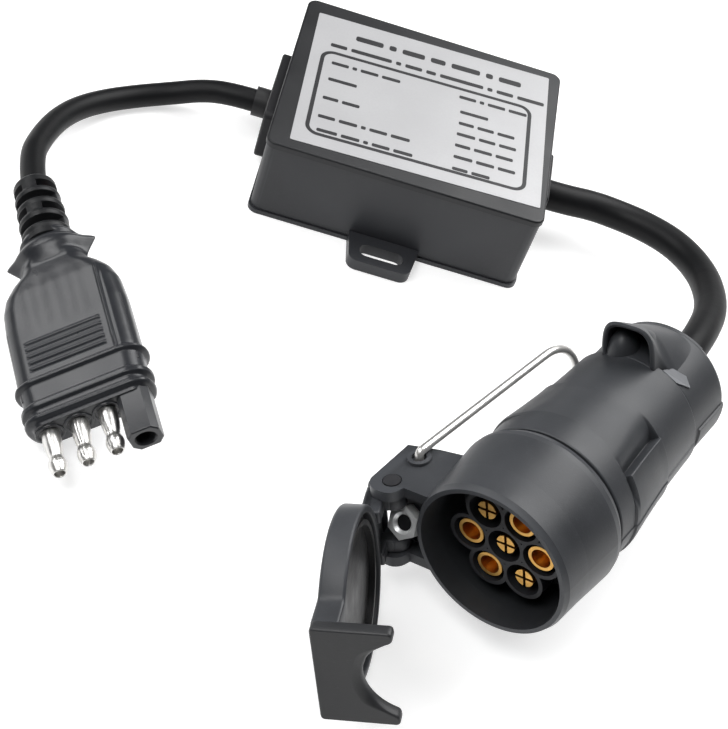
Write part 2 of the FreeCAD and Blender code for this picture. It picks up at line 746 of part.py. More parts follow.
def make_socket_wires():
    """Seven wires that gather from the contacts into the lead's sheath."""
    wires = []
    radius = size("wire_radius")
    for label, contact_radius, x, z in contact_places():
        spread = math.hypot(x, z)
        if not spread:
            wires.append(Part.makeCylinder(radius, 54.7, Vector(0, 28.2, 0), Vector(0, 1, 0)))
            continue
        near = 2.1 / spread
        wires.append(tube([Vector(x, 28.2, z), Vector(x, 38, z), Vector(x * near, 66, z * near),
                           Vector(x * near, 82.9, z * near)], radius, [8.0, 8.0])[0])
    shaped("socket_wires", Part.Compound(wires), SOCKET)


def make_seam_gasket():
    body = new_body("seam_gasket")
    profile = new_sketch(body, "gasket_profile")
    rectangle(profile, 16.0, SEAM, "rear_radius - 0.8", REAR_START)
    revolve(body, profile)
    node("seam_gasket", body, SOCKET)


def make_rear_body():
    body = new_body("rear_body")
    profile = new_sketch(body, "rear_profile")
    outline(profile, [(15.2, REAR_START), ("rear_radius", REAR_START), ("rear_radius", 33), (19.4, 40),
                      (18.7, 47), (18.1, 60), (17.9, "rear_end"), (15.2, "rear_end")])
    revolve(body, profile)
    trough = block("trough", 5, 17, 2.4, (0, 40, 0))
    trough.Placement = Placement(Vector(), Rotation(Vector(0, 1, 0), -33)) * Placement(
        Vector(20.2, 0, 0), Rotation(Vector(0, 1, 0), 24)) * trough.Placement
    return node("rear_body", cut("rear_body_cut", body, trough), SOCKET)


def hood_outline(wall, base):
    """The arched mouth of the lid catch, inside its wall."""
    side = f"hood_half_width - {wall}"
    top = f"hood_top - {wall}"
    return [(f"-({side})", base), (f"-({side})", f"{top} - 4"), (f"3.4 - ({side})", top),
            (f"{side} - 3.4", top), (side, f"{top} - 4"), (side, base)]


def make_rear_cap():
    """The rear cap: a short turned sleeve whose top rises into a hooded lid catch."""
    body = new_body("rear_cap")
    profile = new_sketch(body, "cap_profile")
    outline(profile, [(12.5, "rear_end - 5"), (15.1, "rear_end - 5"), (15.1, "rear_end"),
                      ("cap_radius", "rear_end"), ("cap_radius", "cap_rim"),
                      ("cap_radius - 1.8", "cap_rim + 2.2"), (11, "socket_length"),
                      (4.7, "socket_length"), (4.7, "socket_length - 3"), (12.5, "socket_length - 3")])
    revolve(body, profile)
    mouth = new_sketch(body, "hood_mouth", "XZ_Plane", "-hood_start")
    outline(mouth, hood_outline("0", "15.6"))
    end = new_sketch(body, "hood_end", "XZ_Plane", "-cap_rim")
    outline(end, [("-hood_half_width", 10), ("-hood_half_width", 14.6), (-3.9, 16.2), (3.9, 16.2),
                  ("hood_half_width", 14.6), ("hood_half_width", 10)])
    hood = body.newObject("PartDesign::AdditiveLoft", "hood")
    hood.Profile = mouth
    hood.Sections = [end]
    hood.Ruled = True
    scoop = new_sketch(body, "scoop", "XZ_Plane", "-hood_start")
    outline(scoop, hood_outline("hood_wall", "18.6"))
    pocket(body, scoop, "8", back=True)
    room = fuse("cap_room", [cylinder("body_room", 18.0, "rear_end - 60", (0, 60, 0)),
                             cylinder("gland_room", 12.5, 16, (0, 67, 0))])
    spigot = cylinder("spigot_outer", 15.1, 5, (0, "rear_end - 5", 0))
    bore = cylinder("spigot_bore", 12.5, 5, (0, "rear_end - 5", 0))
    solid = fuse("cap_solid", [cut("cap_trimmed", body, room), cut("spigot", spigot, bore)])
    return node("rear_cap", solid, SOCKET)


def make_rear_gland():
    body = new_body("rear_gland")
    profile = new_sketch(body, "gland_profile")
    outline(profile, [(3.6, "socket_length - 11"), (9.5, "socket_length - 11"), (12.4, "socket_length - 8"),
                      (12.4, "socket_length - 3"), (3.6, "socket_length - 3")])
    revolve(body, profile)
    return node("rear_gland", body, SOCKET)


def make_nut_and_screw():
    """Drawn about the nut's own axis, which leans with its seat."""
    nut = bind(doc.addObject("Part::Prism", "nut_blank"), Circumradius="4.35", Height="3.2")
    nut.Polygon = 6
    nut.Placement = Placement(Vector(), ALONG["Y"] * Rotation(UP, 30))
    bore = fuse("nut_hollow", [cylinder("nut_bore", 2.0, 6, (0, -1, 0)), cone("nut_mouth", 2.7, 2.0, 0.7)])
    node("hex_nut", cut("hex_nut_cut", nut, bore), SOCKET * NUT)
    node("bracket_screw", cylinder("bracket_screw_rod", 2.0, 10, (0, 1.6, 0)), SOCKET * NUT)


def make_hinge_pins():
    pins = []
    for side, label in ((1, "upper"), (-1, "lower")):
        inner = 4.8 if side > 0 else -11.0
        head = "ear_outer - 0.5" if side > 0 else "-ear_outer - 0.15"
        shank = cylinder(f"{label}_shank", "hinge_pin_radius", 6.2, (HINGE.x, HINGE.y, inner), "Z")
        cap = cylinder(f"{label}_cap", "pin_head_radius", 0.65, (HINGE.x, HINGE.y, head), "Z")
        pins.append(fuse(f"{label}_pin", [shank, cap]))
    node("hinge_pins", group("hinge_pins_set", pins), SOCKET)


# ---------------------------------------------------------------- flip lid and bail

def make_flip_lid():
    """Drawn with the hinge at the origin, +X across the lid and -Y its outer face."""
    disc = cylinder("lid_disc", "lid_radius", "lid_rim_depth", ("lid_centre", LID_FRONT, 0))
    bridge = block("lid_bridge", 10.4, "lid_rim_depth", "claw_half_width * 2",
                   ("claw_reach - 5.2", f"{LID_FRONT} + lid_rim_depth / 2", 0))
    claw = block("claw_wall", "claw_thickness", 17.6, "claw_half_width * 2",
                 ("claw_reach - claw_thickness / 2", f"{LID_FRONT} + 8.8", 0))
    web = block("hinge_web", 9.95, 2.9, 16.4, (3.175, -5.05, 0))
    heel = block("web_heel", 2.1, 3.9, 16.4, (-2.85, -4.55, 0))
    arms = []
    hollows = [cylinder("lid_hollow", "lid_radius - 2.1", "lid_rim_depth",
                        ("lid_centre", f"{LID_FRONT} + lid_plate", 0)),
               cylinder("claw_notch", 11.4, 9, ("claw_reach - 6", 13.0, 0), "X")]
    for side in (-1, 1):
        middle = side * 6.4
        arms.append(cylinder("knuckle", "knuckle_radius", 3.6, (0, 0, middle - 1.8), "Z"))
        arms.append(block("arm", 8.15, 4.8, 3.6, (4.075, -4.1, middle)))
        arms.append(block("arm_root", 3.4, 3.6, 3.6, (1.6, -2.0, middle)))
        hollows.append(cylinder("pin_hole", "hinge_pin_radius + running_gap", 6, (0, 0, middle - 3), "Z"))
    solid = fuse("lid_solid", [disc, bridge, claw, web, heel] + arms)
    node("flip_lid", cut("flip_lid_cut", solid, fuse("lid_hollows", hollows)), LID)


def make_lid_seal():
    """A moulded rubber disc with a raised sealing ring and a low middle pad."""
    face = f"{LID_FRONT} + lid_plate"
    disc = cylinder("seal_disc", "lid_radius - 2.2", 1.6, ("lid_centre", face, 0))
    ring = cylinder("seal_ring", "lid_radius - 3.6", 3.2, ("lid_centre", face, 0))
    groove = cylinder("seal_groove", "lid_radius - 4.8", 4, ("lid_centre", f"{face} + 1.6", 0))
    node("lid_seal", fuse("lid_seal_solid", [disc, cut("lid_seal_cut", ring, groove)]), LID)


def make_wire_bail():
    """A round-ended loop of wire whose two turned-in ends sit in the ears."""
    leg = 13.4
    end = Vector(-20.3, 73.6, 0)
    points = [BAIL_PIVOT + UP * 8.9, BAIL_PIVOT + UP * leg, end + UP * leg,
              end - UP * leg, BAIL_PIVOT - UP * leg, BAIL_PIVOT - UP * 8.9]
    wire = tube(points, size("bail_wire_radius"), [1.3, leg - 0.2, leg - 0.2, 1.3])[0]
    shaped("wire_bail", wire, SOCKET)


make_box_base()
make_box_lid()
make_box_label()
make_cable_plate("left_cable_plate", -1, LEFT_PLATE_BACK, "left_plate_width", "left_plate_thickness",
                 LEAD_FOUR_ACROSS, LEAD_FOUR_HEIGHT, 0.5, 4.2, 4.25)
make_cable_plate("right_cable_plate", 1, RIGHT_PLATE_BACK, "right_plate_width", "right_plate_thickness",
                 LEAD_SEVEN_ACROSS, LEAD_SEVEN_HEIGHT, 1.0, 3.9, 4.55)
make_left_grommet()
make_electronics()
make_board_wires("board_wires_left", -1, Vector(-45.9, LEAD_FOUR_ACROSS, LEAD_FOUR_HEIGHT),
                 [(-1, -1), (-1, 1), (1, -1), (1, 1)], 4.0)
make_board_wires("board_wires_right", 1, Vector(40.9, LEAD_SEVEN_ACROSS, LEAD_SEVEN_HEIGHT),
                 [around(angle, 2.1) for angle in (240, 180, 120, 0, 60, 300)], 4.0)
make_lead("lead_four_way", LEAD_FOUR_ROUTE, "lead_four_diameter")
make_lead("lead_seven_way", LEAD_SEVEN_ROUTE, "lead_seven_diameter")
make_plug_body()
make_plug_inside()
for bullet in range(3):
    make_bullet(bullet)
make_sleeve_terminal()
make_front_shell()
make_contact_carrier()
make_contacts()
make_socket_wires()
make_seam_gasket()
make_rear_body()
make_rear_cap()
make_rear_gland()
make_nut_and_screw()
make_hinge_pins()
make_flip_lid()
make_lid_seal()
make_wire_bail()

doc.recompute()
for item in doc.Objects:
    if "Invalid" in item.State or "Error" in item.State:
        raise ValueError(f"{item.Name} did not compute: {item.State}")
os.makedirs("parts", exist_ok=True)
for name, feature in nodes.items():
    shape = feature.Shape
    if shape.isNull() or not shape.isValid() or not shape.Solids:
        raise ValueError(f"{name} has no valid solid")
    shape.exportStep(os.path.join("parts", name + ".step"))
    box = shape.BoundBox
    print(f"{name:20s} solids {len(shape.Solids)} volume {shape.Volume:9.1f}",
          f"z {box.ZMin:6.2f} {box.ZMax:6.2f}")
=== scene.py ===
"""Looks for the trailer wiring adapter: materials, leads, the plug's moulding, the socket's rear body,
cap and flip lid, the label's print, the floor and the light.

Everything is in metres in the frame of the CAD model.  MM turns millimetres into metres.  The PLUG,
SOCKET, LID, NUT and LABEL matrices carry a point from each piece's own axes to where that piece lies;
local +Y of the plug and of the socket points to the cable end.
"""

import json
import math

import bmesh
import bpy
import numpy as np
from mathutils import Matrix, Vector


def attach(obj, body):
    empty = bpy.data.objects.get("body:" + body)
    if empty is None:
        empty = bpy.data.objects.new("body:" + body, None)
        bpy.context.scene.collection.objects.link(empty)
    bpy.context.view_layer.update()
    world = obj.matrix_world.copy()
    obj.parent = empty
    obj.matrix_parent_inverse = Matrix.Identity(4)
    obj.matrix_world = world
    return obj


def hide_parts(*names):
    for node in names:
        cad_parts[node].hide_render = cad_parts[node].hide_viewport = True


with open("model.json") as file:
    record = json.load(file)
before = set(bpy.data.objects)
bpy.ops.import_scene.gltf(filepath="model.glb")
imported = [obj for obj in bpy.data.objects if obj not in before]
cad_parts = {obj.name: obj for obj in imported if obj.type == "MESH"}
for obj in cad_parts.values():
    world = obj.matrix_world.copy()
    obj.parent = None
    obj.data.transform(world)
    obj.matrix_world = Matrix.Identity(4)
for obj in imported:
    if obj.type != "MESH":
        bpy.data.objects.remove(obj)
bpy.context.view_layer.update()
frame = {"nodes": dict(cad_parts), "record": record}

MM = 0.001


def move(x, y, z):
    return Matrix.Translation(Vector((x, y, z)) * MM)


def rotate(degrees, axis):
    return Matrix.Rotation(math.radians(degrees), 4, axis)


def in_scene(name, data):
    thing = bpy.data.objects.new(name, data)
    bpy.context.scene.collection.objects.link(thing)
    return thing


def looking(place, aim):
    """Where a camera or a light stands that looks from place to aim."""
    turn = (Vector(aim) - Vector(place)).to_track_quat("-Z", "Y").to_matrix().to_4x4()
    return Matrix.Translation(Vector(place)) @ turn


PLUG = move(-60.15, -133.15, 13.3) @ rotate(27, "Z") @ rotate(-28, "Y")
SOCKET = move(35.9, -154.8, 29.2) @ rotate(-28.8, "Z") @ rotate(-24, "Y")
LID = SOCKET @ move(-27.3, 1.9, 0) @ rotate(-64, "Z")
NUT = SOCKET @ move(-24.3, 0.5, 0.6) @ rotate(-25, "X")
LABEL = move(1.2, 0, 27.15) @ rotate(2.0, "Z")


# ---- camera

CAMERA_PLACE = Vector((-32.7, -370.3, 313.2)) * MM
CAMERA_AIM = Vector((2.1, -79.9, 0.0)) * MM
CAMERA_ROLL = 21.3
CAMERA_LENS = 78.5


def make_camera():
    data = bpy.data.cameras.new("camera")
    data.lens = CAMERA_LENS
    camera = in_scene("camera", data)
    camera.matrix_world = looking(CAMERA_PLACE, CAMERA_AIM) @ rotate(CAMERA_ROLL, "Z")
    bpy.context.scene.camera = camera


make_camera()


# ---- materials

MATERIALS = {}
PLASTIC_IOR = 1.40


def set_inputs(node, **values):
    """Sets a node's inputs; the names have an underscore where Blender's have a space."""
    for name, value in values.items():
        node.inputs[name.replace("_", " ")].default_value = value


class Finish:
    """A Principled material with helpers that add procedural variation to it."""

    def __init__(self, name, color, metallic=0.0):
        material = bpy.data.materials.new(name)
        material.use_nodes = True
        MATERIALS[name] = material
        self.tree = material.node_tree
        self.shader = self.tree.nodes["Principled BSDF"]
        set_inputs(self.shader, Metallic=metallic, IOR=PLASTIC_IOR)
        self.color = color
        self.place = self.add("ShaderNodeTexCoord").outputs["Object"]
        self.normal = None

    def add(self, kind, **settings):
        node = self.tree.nodes.new(kind)
        for name, value in settings.items():
            setattr(node, name, value)
        return node

    def join(self, source, target):
        self.tree.links.new(source, target)

    def noise(self, size, detail):
        """Noise whose blotches are about size metres across."""
        noise = self.add("ShaderNodeTexNoise")
        set_inputs(noise, Scale=1 / size, Detail=detail)
        self.join(self.place, noise.inputs["Vector"])
        return noise.outputs["Fac"]

    def spread(self, value, low, high, start=0.3, end=0.7):
        """Maps a noise value to numbers between low and high."""
        node = self.add("ShaderNodeMapRange")
        set_inputs(node, From_Min=start, From_Max=end, To_Min=low, To_Max=high)
        self.join(value, node.inputs["Value"])
        return node.outputs["Result"]

    def mix(self, factor, first, second):
        """Mixes two colours, each a socket or three numbers."""
        node = self.add("ShaderNodeMix", data_type="RGBA")
        self.join(factor, node.inputs["Factor"])
        for socket, value in ((node.inputs[6], first), (node.inputs[7], second)):
            if isinstance(value, bpy.types.NodeSocket):
                self.join(value, socket)
            else:
                socket.default_value = (*value, 1)
        return node.outputs[2]

    def paint(self, value):
        self.join(value, self.shader.inputs["Base Color"])

    def polish(self, value):
        self.join(value, self.shader.inputs["Roughness"])

    def raise_by(self, value, depth, strength):
        """Adds a bump of depth metres on top of what is there."""
        node = self.add("ShaderNodeBump")
        set_inputs(node, Distance=depth, Strength=strength)
        self.join(value, node.inputs["Height"])
        if self.normal is not None:
            self.join(self.normal, node.inputs["Normal"])
        self.normal = node.outputs["Normal"]
        self.join(self.normal, self.shader.inputs["Normal"])

    def shade(self, factor):
        return tuple(channel * factor for channel in self.color)


# how pointed a surface is, from where an edge starts to look worn to where it is fully worn
WORN_EDGE = (0.505, 0.56)


def moulded_plastic(name, color, roughness):
    """Injection-moulded plastic: spark-eroded grain, faint clouding and slightly worn edges."""
    finish = Finish(name, color)
    cloud = finish.noise(size=0.018, detail=4)
    fleck = finish.noise(size=0.0009, detail=2)
    pointed = finish.add("ShaderNodeNewGeometry").outputs["Pointiness"]
    tone = finish.mix(finish.spread(cloud, 0, 1), finish.shade(0.86), finish.shade(1.12))
    tone = finish.mix(finish.spread(fleck, 0, 0.5, 0.55, 0.8), tone, finish.shade(1.3))
    finish.paint(finish.mix(finish.spread(pointed, 0, 1, *WORN_EDGE), tone, finish.shade(1.35)))
    finish.polish(finish.spread(cloud, roughness - 0.05, roughness + 0.07))
    finish.raise_by(finish.noise(size=0.00035, detail=2), depth=0.00003, strength=0.6)


def soft_rubber(name, color, roughness, sheen=0.15, mottle=0.04, ripple=0.00012, gloss=0.5):
    """Moulded PVC or rubber: smooth, softly shiny, with faint dust and long shallow ripples."""
    finish = Finish(name, color)
    set_inputs(finish.shader, Sheen_Weight=sheen, Sheen_Roughness=0.4, Specular_IOR_Level=gloss)
    cloud = finish.noise(size=0.009, detail=5)
    dust = finish.noise(size=0.0012, detail=3)
    tone = finish.mix(finish.spread(cloud, 0, 1), finish.shade(0.93), finish.shade(1.08))
    finish.paint(finish.mix(finish.spread(dust, 0, 0.3, 0.6, 0.8), tone, finish.shade(1.8)))
    finish.polish(finish.spread(cloud, roughness - mottle, roughness + mottle, 0.2, 0.8))
    finish.raise_by(finish.noise(size=0.004, detail=3), ripple, strength=0.5)
    finish.raise_by(finish.noise(size=0.0005, detail=2), depth=0.00002, strength=0.5)


def bare_metal(name, color, roughness, tarnish=0.85, metallic=1.0):
    """Plated or turned metal: slightly uneven polish and a little tarnish."""
    finish = Finish(name, color, metallic)
    blotch = finish.noise(size=0.003, detail=3)
    marks = finish.noise(size=0.0008, detail=2)
    finish.paint(finish.mix(finish.spread(blotch, 0, 1), finish.shade(tarnish), finish.color))
    finish.polish(finish.spread(marks, roughness - 0.03, roughness + 0.06, 0.2, 0.8))


def plain_gloss(name, color, roughness):
    """Printing ink, shrink sleeve, wire insulation and board laminate."""
    finish = Finish(name, color)
    cloud = finish.noise(size=0.003, detail=3)
    finish.paint(finish.mix(finish.spread(cloud, 0, 1), finish.shade(0.85), finish.shade(1.15)))
    finish.polish(finish.spread(cloud, roughness - 0.05, roughness + 0.1))
    finish.raise_by(finish.noise(size=0.0008, detail=2), depth=0.00003, strength=0.4)


def printed_film(name, color):
    """White label film with a faint mottle and a satin clear layer."""
    finish = Finish(name, color)
    set_inputs(finish.shader, Coat_Weight=0.35, Coat_Roughness=0.25)
    cloud = finish.noise(size=0.02, detail=3)
    speck = finish.noise(size=0.0007, detail=3)
    tone = finish.mix(finish.spread(cloud, 0, 1), finish.shade(0.95), finish.shade(1.04))
    finish.paint(finish.mix(finish.spread(speck, 0, 0.3), tone, finish.shade(0.9)))
    finish.polish(finish.spread(speck, 0.3, 0.42))
    finish.raise_by(finish.noise(size=0.006, detail=2), depth=0.00006, strength=0.4)


moulded_plastic("case_plastic", (0.022, 0.023, 0.026), 0.42)
moulded_plastic("case_lid_plastic", (0.009, 0.0095, 0.011), 0.40)
moulded_plastic("chip_plastic", (0.02, 0.02, 0.02), 0.5)
moulded_plastic("socket_plastic", (0.034, 0.036, 0.040), 0.44)
# painted shade: a darker copy of the socket's plastic for the inner wall of the mouth
moulded_plastic("socket_mouth_painted_shade", (0.014, 0.015, 0.017), 0.5)
# painted shade: a darker copy of the socket's plastic for the lid's claw, whose face turns away from the
# light
moulded_plastic("claw_painted_shade_plastic", (0.018, 0.0185, 0.020), 0.48)
moulded_plastic("carrier_plastic", (0.012, 0.0125, 0.0145), 0.42)
# painted highlight: a light copy of the socket's plastic for the small cut face on the cap
moulded_plastic("facet_painted_highlight", (0.12, 0.124, 0.132), 0.5)
printed_film("label_film", (0.37, 0.37, 0.378))
plain_gloss("label_ink", (0.012, 0.012, 0.014), 0.45)
plain_gloss("board_laminate", (0.015, 0.12, 0.05), 0.35)
plain_gloss("can_sleeve", (0.01, 0.02, 0.06), 0.3)
plain_gloss("resistor_body", (0.5, 0.36, 0.2), 0.35)
plain_gloss("wire_insulation", (0.35, 0.03, 0.025), 0.4)
soft_rubber("plate_rubber", (0.012, 0.012, 0.014), 0.55)
soft_rubber("grommet_rubber", (0.012, 0.012, 0.013), 0.5)
soft_rubber("lead_sheath", (0.0035, 0.0037, 0.0044), 0.5, sheen=0.03, gloss=0.27)
soft_rubber("plug_rubber", (0.018, 0.0192, 0.0225), 0.30)
# painted shade: darker than the plug's rubber of the same moulding, for the shade in the boot's slots
soft_rubber("boot_painted_shade_rubber", (0.0075, 0.008, 0.009), 0.45, sheen=0.05, gloss=0.35)
soft_rubber("gasket_rubber", (0.006, 0.006, 0.007), 0.42, sheen=0.05, mottle=0.16, ripple=0.0003)
bare_metal("terminal_nickel", (0.74, 0.73, 0.71), 0.34, tarnish=0.88)
bare_metal("contact_brass", (0.80, 0.46, 0.13), 0.30, tarnish=0.8)
bare_metal("bail_steel", (0.74, 0.73, 0.71), 0.3, metallic=0.8)
bare_metal("zinc_steel", (0.85, 0.86, 0.86), 0.36, metallic=0.6)
bare_metal("pin_steel", (0.03, 0.03, 0.033), 0.45, tarnish=0.8, metallic=0.2)


# ---- CAD nodes that stay

SHARP_ANGLE = 32
SMALL_ROUNDING = 0.12
EDGE_ROUNDING = {
    "box_base": 0.45,
    "box_lid": 0.35,
    "left_cable_plate": 0.3,
    "right_cable_plate": 0.3,
    "left_grommet": 0.4,
    "front_shell": 0.25,
    "lid_seal": 0.3,
    "contact_carrier": 0.2,
    "hex_nut": 0.3,
    "hinge_pins": 0.25,
    "contact_pin": 0.42,
    "contact_sleeve": 0.36,
}
MOUTH_INSIDE = 18.6
MOUTH_LIP = 0.3


def edge_rounding(name):
    """The rounding of a node, listed by its own name or by that of its family, such as contact_pin."""
    return EDGE_ROUNDING.get(name, EDGE_ROUNDING.get(name.rpartition("_")[0], SMALL_ROUNDING))


def round_edges(piece, width, segments):
    bevel = piece.modifiers.new("edge_rounding", "BEVEL")
    bevel.width = width * MM
    bevel.segments = segments
    bevel.harden_normals = True
    return bevel


def finish_cad_nodes():
    """Gives each CAD node its material, smooth shading and slightly rounded edges."""
    for part in frame["record"]["subparts"]:
        name = part["node"]
        node = frame["nodes"][name]
        node.data.materials.clear()
        node.data.materials.append(MATERIALS[part["material_slot"]])
        node.data.shade_smooth()
        node.data.set_sharp_from_angle(angle=math.radians(SHARP_ANGLE))
        bevel = round_edges(node, edge_rounding(name), 3)
        bevel.limit_method = "ANGLE"
        bevel.angle_limit = math.radians(SHARP_ANGLE)


def darken_mouth():
    """Paints shade on the inner wall of the socket's mouth, which the light hardly reaches, with a darker
    plastic.
    """
    shell = frame["nodes"]["front_shell"]
    shell.data.materials.append(MATERIALS["socket_mouth_painted_shade"])
    to_socket = SOCKET.inverted() @ shell.matrix_world
    for face in shell.data.polygons:
        centre = to_socket @ face.center / MM
        if math.hypot(centre.x, centre.z) < MOUTH_INSIDE and centre.y > MOUTH_LIP:
            face.material_index = 1


finish_cad_nodes()
darken_mouth()


# ---- mesh helpers

def smooth_mesh(name, points, faces, place, sharp):
    """A mesh from points in millimetres about a local frame, with edges above so many degrees sharp."""
    mesh = bpy.data.meshes.new(name)
    mesh.from_pydata([place @ (Vector(point) * MM) for point in points], [], faces)
    mesh.validate()
    builder = bmesh.new()
    builder.from_mesh(mesh)
    bmesh.ops.recalc_face_normals(builder, faces=builder.faces)
    builder.to_mesh(mesh)
    builder.free()
    mesh.shade_smooth()
    mesh.set_sharp_from_angle(angle=math.radians(sharp))
    return mesh


def ring(reach, along, angles, centre=(0, 0)):
    """Points round a line along local Y; reach is one radius, or one for each angle."""
    radii = np.broadcast_to(reach, len(angles))
    return [(centre[0] + radius * math.cos(angle), along, centre[1] + radius * math.sin(angle))
            for radius, angle in zip(radii, angles)]


def joined(rings, closed):
    """The skin between each ring and the next; closed also joins the last ring to the first."""
    count = len(rings[0])
    points = [tuple(point) for loop in rings for point in loop]
    faces = []
    for row in range(len(rings) if closed else len(rings) - 1):
        here = row * count
        above = (row + 1) % len(rings) * count
        for column in range(count):
            following = (column + 1) % count
            faces.append((here + column, here + following, above + following, above + column))
    return points, faces


def wrap(rings):
    """Closed skin over rings of equal point counts, with both ends capped."""
    points, faces = joined(rings, closed=False)
    count = len(rings[0])
    faces.append(tuple(range(count)))
    faces.append(tuple(reversed(range(len(points) - count, len(points)))))
    return points, faces


def add_skin(name, skin, place, slot, replaced=None, body="root", sharp=SHARP_ANGLE):
    """A visible piece with the given skin that rides with its body and may replace a CAD node."""
    piece = in_scene(name, smooth_mesh(name, *skin, place, sharp))
    piece.data.materials.append(MATERIALS[slot])
    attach(piece, body)
    if replaced is not None:
        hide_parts(replaced)
    return piece


def turned(name, profile, place, slot, replaced=None, centre=(0, 0), segments=64, shift=None,
           sharp=SHARP_ANGLE):
    """A piece turned about a line along local Y; profile lists (radius, along)."""
    angles = np.linspace(0, 2 * math.pi, segments, endpoint=False)
    rings = [ring(radius if shift is None else radius + shift(angles, along), along, angles, centre)
             for radius, along in profile]
    add_skin(name, wrap(rings), place, slot, replaced, sharp=sharp)


def distance_along(first, second):
    """Length walked along a line of points, up to each of them."""
    return np.concatenate([[0], np.cumsum(np.hypot(np.diff(first), np.diff(second)))])


def step(value, start, end):
    """Goes smoothly from 0 at start to 1 at end."""
    share = np.clip((value - start) / (end - start), 0, 1)
    return share * share * (3 - 2 * share)


def band(value, middle, width, soft):
    """1 inside a band of the given width, falling to 0 over the soft edge."""
    return 1 - step(np.abs(value - middle), width / 2 - soft / 2, width / 2 + soft / 2)


def blurred(table, value, blur):
    """A table of (place, size) read with its corners rounded off over blur."""
    places, sizes = zip(*table)
    total = np.zeros_like(value, dtype=float)
    shifts = np.linspace(-blur, blur, 9)
    for shift in shifts:
        total += np.interp(value + shift, places, sizes)
    return total / len(shifts)


# ---- leads

LEAD_FOUR_DIAMETER = 6.8 * MM
LEAD_FOUR_ROUTE = [
    (-46.0, -0.2, 11.0), (-53.5, -0.2, 11.0), (-62.2, 0.9, 8.4), (-71.6, -0.5, 4.7),
    (-80.4, -4.7, 3.6), (-88.5, -11.2, 4.0), (-94.7, -19.7, 5.7), (-98.4, -29.7, 7.8),
    (-99.9, -41.5, 10.2), (-99.7, -52.6, 12.4), (-95.3, -64.1, 13.3),
]
LEAD_SEVEN_DIAMETER = 9.0 * MM
LEAD_SEVEN_ROUTE = [
    (41.0, -4.0, 12.3), (49.0, -4.0, 12.3), (58.1, -2.3, 11.9), (66.5, -3.0, 11.9),
    (74.4, -5.7, 13.0), (82.5, -11.4, 15.0), (88.4, -19.7, 17.1), (91.6, -31.1, 20.3),
    (91.2, -46.2, 24.5), (86.6, -60.4, 27.8), (82.1, -70.7, 29.2), (75.9, -82.1, 29.2),
]
LINE_STEPS = 24
TUBE_SIDES = 40


def lead_line(route):
    """The smooth line that has the route's points as its control points and its ends as its own."""
    control = np.array(route, dtype=float)
    last = len(control) - 2
    knots = np.concatenate([[0, 0], np.arange(last + 1), [last, last]])
    line = []
    for value in np.linspace(0, last, last * LINE_STEPS + 1):
        span = min(int(value), last - 1) + 2
        near = [control[span - 2], control[span - 1], control[span]]
        for level in (1, 2):
            for index in range(2, level - 1, -1):
                low = knots[span - 2 + index]
                high = knots[span + 1 + index - level]
                share = (value - low) / (high - low)
                near[index] = (1 - share) * near[index - 1] + share * near[index]
        line.append(near[2])
    return np.array(line)


def tube_rings(line, radius):
    """Rings of points about a line, each turned as little as possible against the one before."""
    heading = np.gradient(line, axis=0)
    heading /= np.linalg.norm(heading, axis=1)[:, None]
    side = np.cross(heading[0], (0.0, 0.0, 1.0))
    turns = np.linspace(0, 2 * math.pi, TUBE_SIDES, endpoint=False)
    rings = []
    for place, ahead in zip(line, heading):
        side = side - ahead * side.dot(ahead)
        side /= np.linalg.norm(side)
        up = np.cross(side, ahead)
        rings.append([place + radius * (math.cos(turn) * side + math.sin(turn) * up) for turn in turns])
    return rings


def make_lead(name, route, diameter):
    """A round lead along its route, as thick as its sheath."""
    line = lead_line(route)
    skin = wrap(tube_rings(line, diameter / MM / 2))
    lead = add_skin(name, skin, Matrix(), "lead_sheath", name.removesuffix("_sheath"))


make_lead("lead_four_way_sheath", LEAD_FOUR_ROUTE, LEAD_FOUR_DIAMETER)
make_lead("lead_seven_way_sheath", LEAD_SEVEN_ROUTE, LEAD_SEVEN_DIAMETER)


# ---- four-way plug

PITCH = 7.25
CONTACTS = [(index - 1.5) * PITCH for index in range(4)]
PLUG_END = 57.6
PLUG_DIRECTIONS = 300
PLUG_SPACING = 0.18
# half width, half depth and corner radius of the moulding along its length from the nose
PLUG_HALF_WIDTH = [(0, 13.9), (0.9, 14.6), (2.2, 15.3), (14, 15.9), (30, 15.9), (37, 15.4), (40.5, 14.2),
                   (43.4, 12.0), (45.6, 9.6), (47.6, 8.6), (49.5, 9.6), (53.2, 12.4), (55.0, 9.4),
                   (57.6, 6.4)]
PLUG_HALF_DEPTH = [(0, 4.3), (1.0, 4.8), (2.4, 5.1), (14, 5.4), (40, 5.3), (44, 5.0), (47.6, 4.6),
                   (49.6, 5.6), (52.0, 6.5), (53.8, 6.4), (55.4, 5.5), (57.6, 6.3)]
PLUG_CORNER = [(0, 2.4), (3, 4.6), (38, 4.8), (44, 4.4)]
# the same three where it is widest
PLUG_WIDEST = (15.9, 5.4, 4.7)
# the collar at the cable end: where it grows and ends, and how wide its roll and how deep its wings are
COLLAR_START = (47.0, 50.6)
COLLAR_END = (54.6, PLUG_END - 0.4)
ROLL_WIDTH = 0.76
WING_DEPTH = 0.72
NECK_START = 55.4
# ribs round the nose, each with its place and width
RING_RIBS = ((1.9, 1.5), (5.3, 1.9), (12.2, 1.3))
RING_HEIGHT = 1.25
RING_SUNK_ON_FACE = 0.45
GRIP_LINES = [15.3 + 2.0 * index for index in range(5)]
GRIP_MIDDLE = -1.0
GRIP_LENGTH = 19.4
GRIP_LIP = 0.16
GRIP_CUT = 0.26
SWELL_HEIGHT = 0.09
SWELL_SPACING = 6.6
# the middle, width and soft edge of the swells across and along the plug
SWELL_ACROSS = (0, 17, 6)
SWELL_ALONG = (34.5, 16, 7)
CREASE_PLACE = 10.8
CREASE_HEIGHT = 0.22
CREASE_START = (11, 14)
CREASE_END = (39, 42)


